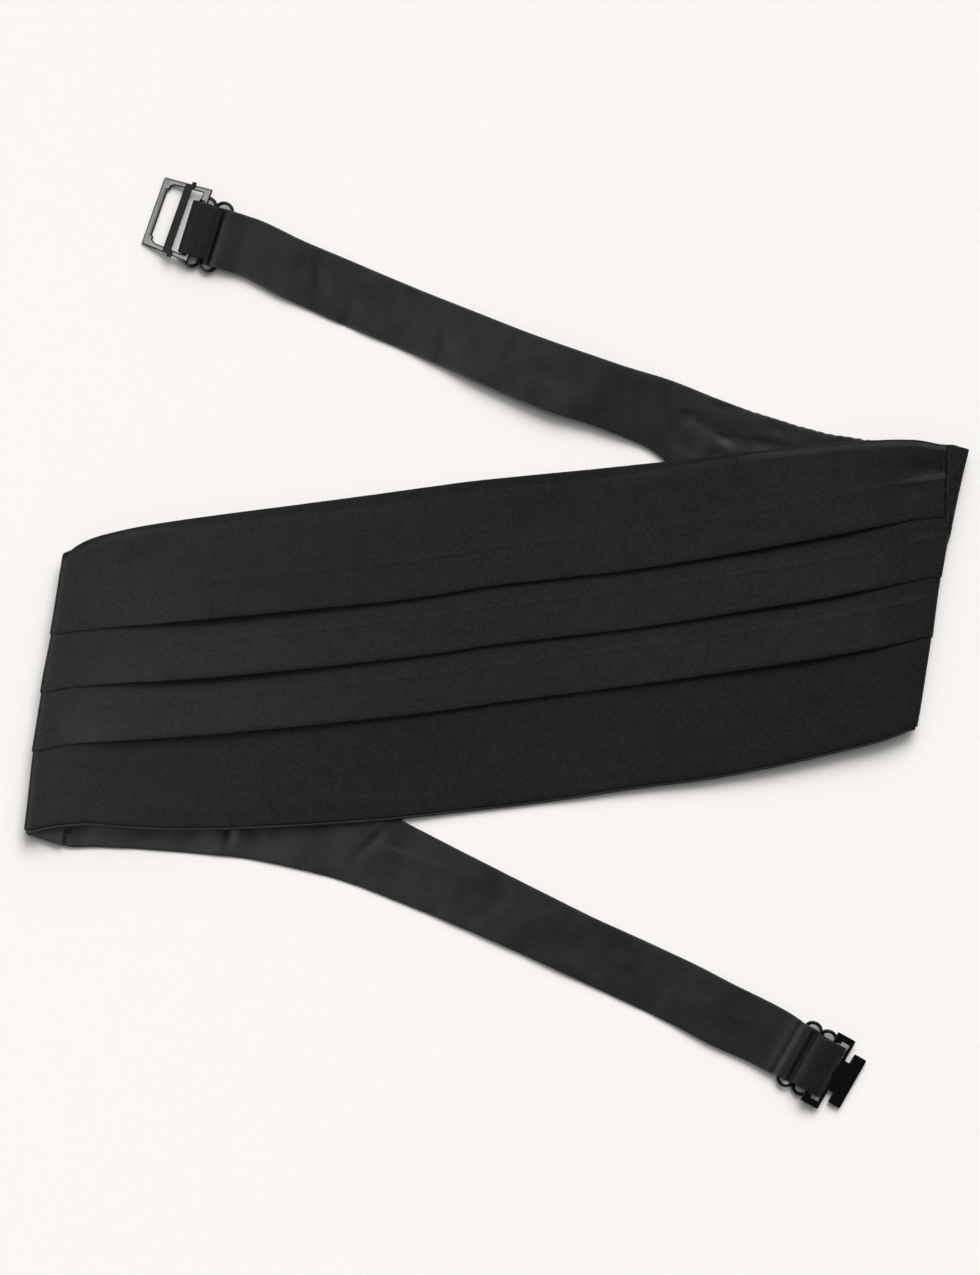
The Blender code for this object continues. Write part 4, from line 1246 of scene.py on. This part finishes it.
def place_clasp(bm, end, reach):
    """Hang a clasp half by its bar in the strap's loop, its tip on the surface."""
    tilt = math.asin((PIN_LEVEL - PLATE / 2 - TOUCH) / reach)
    place_in_end(bm, end, (end["pin_along"], end["clasp_across"], PIN_LEVEL), tilt, end["clasp_turn"])


def bar_corner(end, side, inner):
    """Corner of the opening beside the bar, which is wider where the loop doesn't hold it."""
    loop_edge = end["loop_half"] + side * (end["loop_across"] - end["clasp_across"])
    tab = loop_edge + LOOP_CLEAR
    if tab >= inner(BAR_FRONT):
        return [(BAR_FRONT, inner(BAR_FRONT))]
    return [(BAR_FRONT, tab), (TAB_REACH, tab), (TAB_REACH, inner(TAB_REACH))]


def build_slide(name, end, enamel):
    """A figure of eight: two long rings of round wire that share the middle bar."""
    ring = SLIDE_PITCH / 2
    outer, inner = ring + WIRE / 2, ring - WIRE / 2
    shoulder = SLIDE_LENGTH / 2 - outer
    waist = math.degrees(math.acos(ring / outer))
    outline = arc(ring, shoulder, outer, 0, 180 - waist, RING_STEPS)
    outline += arc(-ring, shoulder, outer, waist, 180, RING_STEPS)[1:]
    holes = [arc(x, shoulder, inner, 0, 180, RING_STEPS) for x in (ring, -ring)]
    contours = [mirrored(half) for half in [outline] + holes]
    bm = plate(contours, -WIRE / 2, WIRE / 2, WIRE_ROUND, WIRE_SEGMENTS)
    place_in_end(bm, end, (0, 0, SLIDE_LEVEL))
    return finish_metal(name + "_wire", bm, [enamel])


def frame_half(x):
    """Half width of the eye half's plate, which narrows towards its tip."""
    share = (x + BAR_BACK) / (FRAME_REACH + BAR_BACK)
    return FRAME_NEAR_HALF + (FRAME_FAR_HALF - FRAME_NEAR_HALF) * share


def build_clasp_frame(end, rails, far_bar, edge):
    """The eye half: a plate with one long window, hung by its near bar."""
    def inner(x):
        return frame_half(x) - FRAME_RAIL

    far = FRAME_REACH - FRAME_FAR_BAR
    step, chamfer = far - FRAME_STEP, far - FRAME_CHAMFER
    corner = [(chamfer, inner(chamfer)), (step, inner(step) - FRAME_STEP),
              (step, inner(step) - FRAME_CHAMFER), (far, inner(far) - FRAME_CHAMFER)]
    outline = mirrored([(-BAR_BACK, FRAME_NEAR_HALF), (FRAME_REACH, FRAME_FAR_HALF)])
    window = bar_corner(end, 1, inner) + corner
    window += [(x, -y) for x, y in reversed(bar_corner(end, -1, inner) + corner)]
    contours = [rounded(outline, OUTLINE_ROUND), rounded(window, WINDOW_ROUND)]
    bm = plate(contours, -PLATE / 2, PLATE / 2, FRAME_RIM)
    rib_half = inner(far) - FRAME_CHAMFER
    rib = mirrored([(far + RIB_INSET, rib_half), (far + RIB_INSET + RIB_WIDTH, rib_half)])
    add_plate(bm, [rounded(rib, RIB_ROUND)], PLATE / 2 - RIB_SUNK, PLATE / 2 + RIB_HIGH, RIB_RIM)
    slice_at(bm, far * MM, snap=LEVEL_WITHIN)
    bm.normal_update()
    # Faces that don't face up take the nearly black copy: painted shade on the plate's edges
    for face in bm.faces:
        if face.normal.z < FACES_UP:
            face.material_index = 2
        # The up faces of the far bar take the slightly darker grey
        elif face.calc_center_median().x > far * MM:
            face.material_index = 1
    place_clasp(bm, end, FRAME_REACH)
    return finish_metal("clasp_frame_plate", bm, [rails, far_bar, edge])


def build_crossbar(end, enamel):
    """The bar across the eye's window that the hook catches, on top of the rails."""
    start, finish = CROSSBAR_START, CROSSBAR_START + CROSSBAR_WIDTH
    ear_start, ear_end = start - EAR_STEP, start - EAR_STEP + EAR_WIDTH
    rail = frame_half(start)
    outline = mirrored([
        (start, rail - EAR_INSIDE), (ear_start, rail - EAR_INSIDE), (ear_start, rail + EAR_REACH),
        (ear_end, rail + EAR_REACH), (ear_end, rail - CROSSBAR_INSET), (finish, rail - CROSSBAR_INSET),
    ])
    low = PLATE / 2 + CROSSBAR_CLEAR
    bm = plate([rounded(outline, CROSSBAR_ROUND)], low, low + CROSSBAR_THICK, CROSSBAR_RIM)
    place_clasp(bm, end, FRAME_REACH)
    return finish_metal("clasp_crossbar_bar", bm, [enamel])


def build_clasp_hook(end, enamel):
    """The hook half: a frame hung by its near bar, with a neck and a T at its tip."""
    rail = HOOK_HALF - HOOK_RAIL
    outline = mirrored([
        (-BAR_BACK, HOOK_HALF), (HOOK_BAR_END, HOOK_HALF), (HOOK_BAR_END, NECK_HALF),
        (TEE_START, NECK_HALF), (TEE_START, TEE_HALF), (TEE_END, TEE_HALF),
    ])
    slot = mirrored(bar_corner(end, 1, lambda x: rail) + [(HOOK_BAR_START, rail)])
    contours = [rounded(outline, OUTLINE_ROUND), rounded(slot, WINDOW_ROUND)]
    bm = plate(contours, -PLATE / 2, PLATE / 2, HOOK_RIM)
    for place in (TEE_BEND - BEND_HALF, TEE_BEND, TEE_BEND + BEND_HALF):
        slice_at(bm, place * MM, snap=LEVEL_WITHIN)
    for vert in bm.verts:
        vert.co.z += max(vert.co.x - TEE_BEND * MM, 0.0) * TEE_SLOPE
    place_clasp(bm, end, TEE_END)
    return finish_metal("clasp_hook_plate", bm, [enamel])


def show(piece, node, body):
    """Hang a piece on its body and hide the CAD part that it stands for."""
    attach(piece, body)
    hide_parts(node)


class ClothSettings(PropertyGroup):
    front_colour: FloatVectorProperty(
        name="Front colour", description="Colour of the front's matt cloth", subtype="COLOR",
        size=3, min=0, max=1, default=srgb("#161617"))
    lining_colour: FloatVectorProperty(
        name="Lining colour", description="Colour of the satin on the straps and the lining",
        subtype="COLOR", size=3, min=0, max=1, default=srgb("#1e1e1f"))


class ClaspSettings(PropertyGroup):
    nickel_colour: FloatVectorProperty(
        name="Nickel colour", description="Colour of the plated eye half", subtype="COLOR",
        size=3, min=0, max=1, default=srgb("#868684"))
    enamel_colour: FloatVectorProperty(
        name="Enamel colour", description="Colour of the slides and the hook half",
        subtype="COLOR", size=3, min=0, max=1, default=srgb("#0c0c0d"))


class StageSettings(PropertyGroup):
    floor_colour: FloatVectorProperty(
        name="Floor colour", description="Colour of the surface it lies on", subtype="COLOR",
        size=3, min=0, max=1, default=srgb("#f8f5f1"))
    key_strength: FloatProperty(
        name="Key light", description="Strength of the light from beyond the top edge", min=0,
        default=2.35)
    key_angle: FloatProperty(
        name="Key size", description="Angle that the key light spans", subtype="ANGLE", min=0,
        default=math.radians(34))
    key_slant: FloatProperty(
        name="Key slant", description="Angle of the key light from overhead", subtype="ANGLE",
        default=math.radians(47))
    key_turn: FloatProperty(
        name="Key turn", description="Way that the light comes from", subtype="ANGLE",
        default=math.radians(74))
    soft_strength: FloatProperty(
        name="Soft light", description="Strength of the wide light round the key", min=0,
        default=1.62)
    soft_angle: FloatProperty(
        name="Soft size", description="Angle that the soft light spans", subtype="ANGLE", min=0,
        default=math.radians(80))
    sheen_power: FloatProperty(
        name="Sheen light", description="Power of each panel that gives the cloth its sheen",
        unit="POWER", min=0, default=3.55)
    fill: FloatProperty(
        name="Fill", description="Brightness all round the horizon", min=0, default=0.15)
    side_fill: FloatProperty(
        name="Side fill", description="Brightness to the left", min=0, default=0.1)
    camera_height: FloatProperty(
        name="Camera height", description="Height of the camera above the surface",
        unit="LENGTH", min=0.5, default=2.0)


class CUMMERBUND_OT_front(Operator):
    """Make the pleated front"""
    bl_idname = "cummerbund.front"
    bl_label = "Pleated front"

    def execute(self, context):
        cloth = barathea(context.scene.cummerbund_cloth)
        item = build_panel("pleated_front_cloth", front_section, cloth)
        show(item, "pleated_front", "garment")
        return {"FINISHED"}


class CUMMERBUND_OT_lining(Operator):
    """Make the satin lining behind the front"""
    bl_idname = "cummerbund.lining"
    bl_label = "Front lining"

    def execute(self, context):
        satin = satin_lining(context.scene.cummerbund_cloth)
        item = build_panel("front_lining_cloth", lining_section, satin)
        show(item, "front_lining", "garment")
        return {"FINISHED"}


class CUMMERBUND_OT_wings(Operator):
    """Make both tapered wings with their straps"""
    bl_idname = "cummerbund.wings"
    bl_label = "Wings and straps"

    def execute(self, context):
        settings = context.scene.cummerbund_cloth
        satin, cloth = satin_lining(settings), barathea(settings)
        for side, end in (("right", "frame"), ("left", "hook")):
            item = build_wing(side, ENDS[end], satin, cloth)
            show(item, side + "_wing", "garment")
        return {"FINISHED"}


class CUMMERBUND_OT_loops(Operator):
    """Make the straps' return loops"""
    bl_idname = "cummerbund.loops"
    bl_label = "Return loops"

    def execute(self, context):
        cloth = barathea(context.scene.cummerbund_cloth)
        for name, end in ENDS.items():
            item = build_loop(name + "_loop", end, cloth)
            show(item, name + "_loop", "garment")
        return {"FINISHED"}


class CUMMERBUND_OT_slides(Operator):
    """Make the two adjuster slides"""
    bl_idname = "cummerbund.slides"
    bl_label = "Adjuster slides"

    def execute(self, context):
        enamel = black_enamel(context.scene.cummerbund_clasp)
        for name, end in ENDS.items():
            item = build_slide(name + "_slide", end, enamel)
            show(item, name + "_slide", "garment")
        return {"FINISHED"}


class CUMMERBUND_OT_eye(Operator):
    """Make the eye half of the clasp with its crossbar"""
    bl_idname = "cummerbund.eye"
    bl_label = "Eye half"

    def execute(self, context):
        settings = context.scene.cummerbund_clasp
        item = build_clasp_frame(ENDS["frame"], black_nickel(settings), darker_nickel(),
                                 nickel_edge_painted_shade())
        show(item, "clasp_frame", "eye_clasp")
        item = build_crossbar(ENDS["frame"], crossbar_lacquer())
        show(item, "clasp_crossbar", "eye_clasp")
        return {"FINISHED"}


class CUMMERBUND_OT_hook(Operator):
    """Make the hook half of the clasp"""
    bl_idname = "cummerbund.hook"
    bl_label = "Hook half"

    def execute(self, context):
        item = build_clasp_hook(ENDS["hook"], black_enamel(context.scene.cummerbund_clasp))
        show(item, "clasp_hook", "hook_clasp")
        return {"FINISHED"}


def add_light(name, kind, energy):
    """A light of this kind and strength, in the scene."""
    light = bpy.data.lights.new(name, kind)
    light.energy = energy
    item = bpy.data.objects.new(name, light)
    bpy.context.collection.objects.link(item)
    return item


def studio_world(settings):
    """Even light from round the horizon, dimmer overhead and a little brighter on the left."""
    world = bpy.data.worlds.new("Soft studio")
    world.use_nodes = True
    tree = world.node_tree
    way = add_node(tree, "ShaderNodeTexCoord")
    up = add_node(tree, "ShaderNodeSeparateXYZ", None, {"Vector": way.outputs["Generated"]})
    glow = add_node(tree, "ShaderNodeMapRange",
                    {"From Min": ZENITH_RAMP[0], "From Max": ZENITH_RAMP[1],
                     "To Min": settings.fill * ZENITH_SHARE, "To Max": settings.fill},
                    {"Value": up.outputs["Z"]})
    side = add_node(tree, "ShaderNodeMapRange",
                    {"From Min": SIDE_RAMP[0], "From Max": SIDE_RAMP[1], "To Min": 0.0,
                     "To Max": settings.side_fill},
                    {"Value": up.outputs["X"]})
    total = add_node(tree, "ShaderNodeMath", None,
                     {0: glow.outputs["Result"], 1: side.outputs["Result"]}, operation="ADD")
    sky = tree.nodes["Background"]
    sky.inputs["Color"].default_value = (1.0, 1.0, 1.0, 1.0)
    tree.links.new(total.outputs[0], sky.inputs["Strength"])
    return world


class CUMMERBUND_OT_stage(Operator):
    """Make the floor, the lights and the camera"""
    bl_idname = "cummerbund.stage"
    bl_label = "Stage"

    def execute(self, context):
        settings = context.scene.cummerbund_stage
        bm = bmesh.new()
        bmesh.ops.create_grid(bm, x_segments=1, y_segments=1, size=FLOOR_HALF)
        floor = finish_mesh("floor", bm, [pale_floor(settings)])
        key = add_light("key_light", "SUN", settings.key_strength)
        key.data.angle = settings.key_angle
        key.rotation_euler = (0, settings.key_slant, settings.key_turn)
        soft = add_light("soft_light", "SUN", settings.soft_strength)
        soft.data.angle = settings.soft_angle
        soft.rotation_euler = (0, settings.key_slant - SOFT_RAISED, settings.key_turn)
        soft.visible_glossy = False
        for place, share in SHEEN_PANELS.items():
            sheen = add_light("sheen_light", "AREA", settings.sheen_power * share)
            sheen.data.size = SHEEN_SIZE
            sheen.location = place
            sheen.rotation_euler = (-Vector(place)).to_track_quat("-Z", "Y").to_euler()
            sheen.visible_diffuse = False
        context.scene.world = studio_world(settings)
        camera = bpy.data.cameras.new("camera")
        camera.sensor_width = SENSOR
        camera.lens = SENSOR * (settings.camera_height / MM - PHOTO_LEVEL) / PHOTO_HIGH
        camera.clip_end = SIGHT
        item = bpy.data.objects.new("camera", camera)
        item.location = (PHOTO_CENTRE[0] * MM, PHOTO_CENTRE[1] * MM, settings.camera_height)
        context.collection.objects.link(item)
        context.scene.camera = item
        context.scene.view_settings.view_transform = "Standard"
        return {"FINISHED"}


class CUMMERBUND_PT_steps(Panel):
    """The steps that build the cummerbund"""
    bl_label = "Cummerbund"
    bl_idname = "CUMMERBUND_PT_steps"
    bl_space_type = "VIEW_3D"
    bl_region_type = "UI"
    bl_category = "Cummerbund"

    def draw(self, context):
        for settings in ("cummerbund_cloth", "cummerbund_clasp", "cummerbund_stage"):
            group = getattr(context.scene, settings)
            box = self.layout.box()
            for name in group.__annotations__:
                box.prop(group, name)
        for step in STEPS:
            self.layout.operator(step.bl_idname)


STEPS = [CUMMERBUND_OT_stage, CUMMERBUND_OT_front, CUMMERBUND_OT_lining, CUMMERBUND_OT_wings,
         CUMMERBUND_OT_loops, CUMMERBUND_OT_slides, CUMMERBUND_OT_eye, CUMMERBUND_OT_hook]
GROUPS = {"cummerbund_cloth": ClothSettings, "cummerbund_clasp": ClaspSettings,
          "cummerbund_stage": StageSettings}


def register():
    """Add the settings, the steps and their panel to Blender."""
    for group in GROUPS.values():
        bpy.utils.register_class(group)
    for name, group in GROUPS.items():
        setattr(bpy.types.Scene, name, PointerProperty(type=group))
    for step in STEPS:
        bpy.utils.register_class(step)
    bpy.utils.register_class(CUMMERBUND_PT_steps)


def unregister():
    """Take them out again."""
    bpy.utils.unregister_class(CUMMERBUND_PT_steps)
    for step in reversed(STEPS):
        bpy.utils.unregister_class(step)
    for name in GROUPS:
        delattr(bpy.types.Scene, name)
    for group in GROUPS.values():
        bpy.utils.unregister_class(group)


def main():
    """Build the stage and every piece."""
    register()
    bpy.ops.cummerbund.stage()
    bpy.ops.cummerbund.front()
    bpy.ops.cummerbund.lining()
    bpy.ops.cummerbund.wings()
    bpy.ops.cummerbund.loops()
    bpy.ops.cummerbund.slides()
    bpy.ops.cummerbund.eye()
    bpy.ops.cummerbund.hook()


if __name__ == "__main__":
    main()
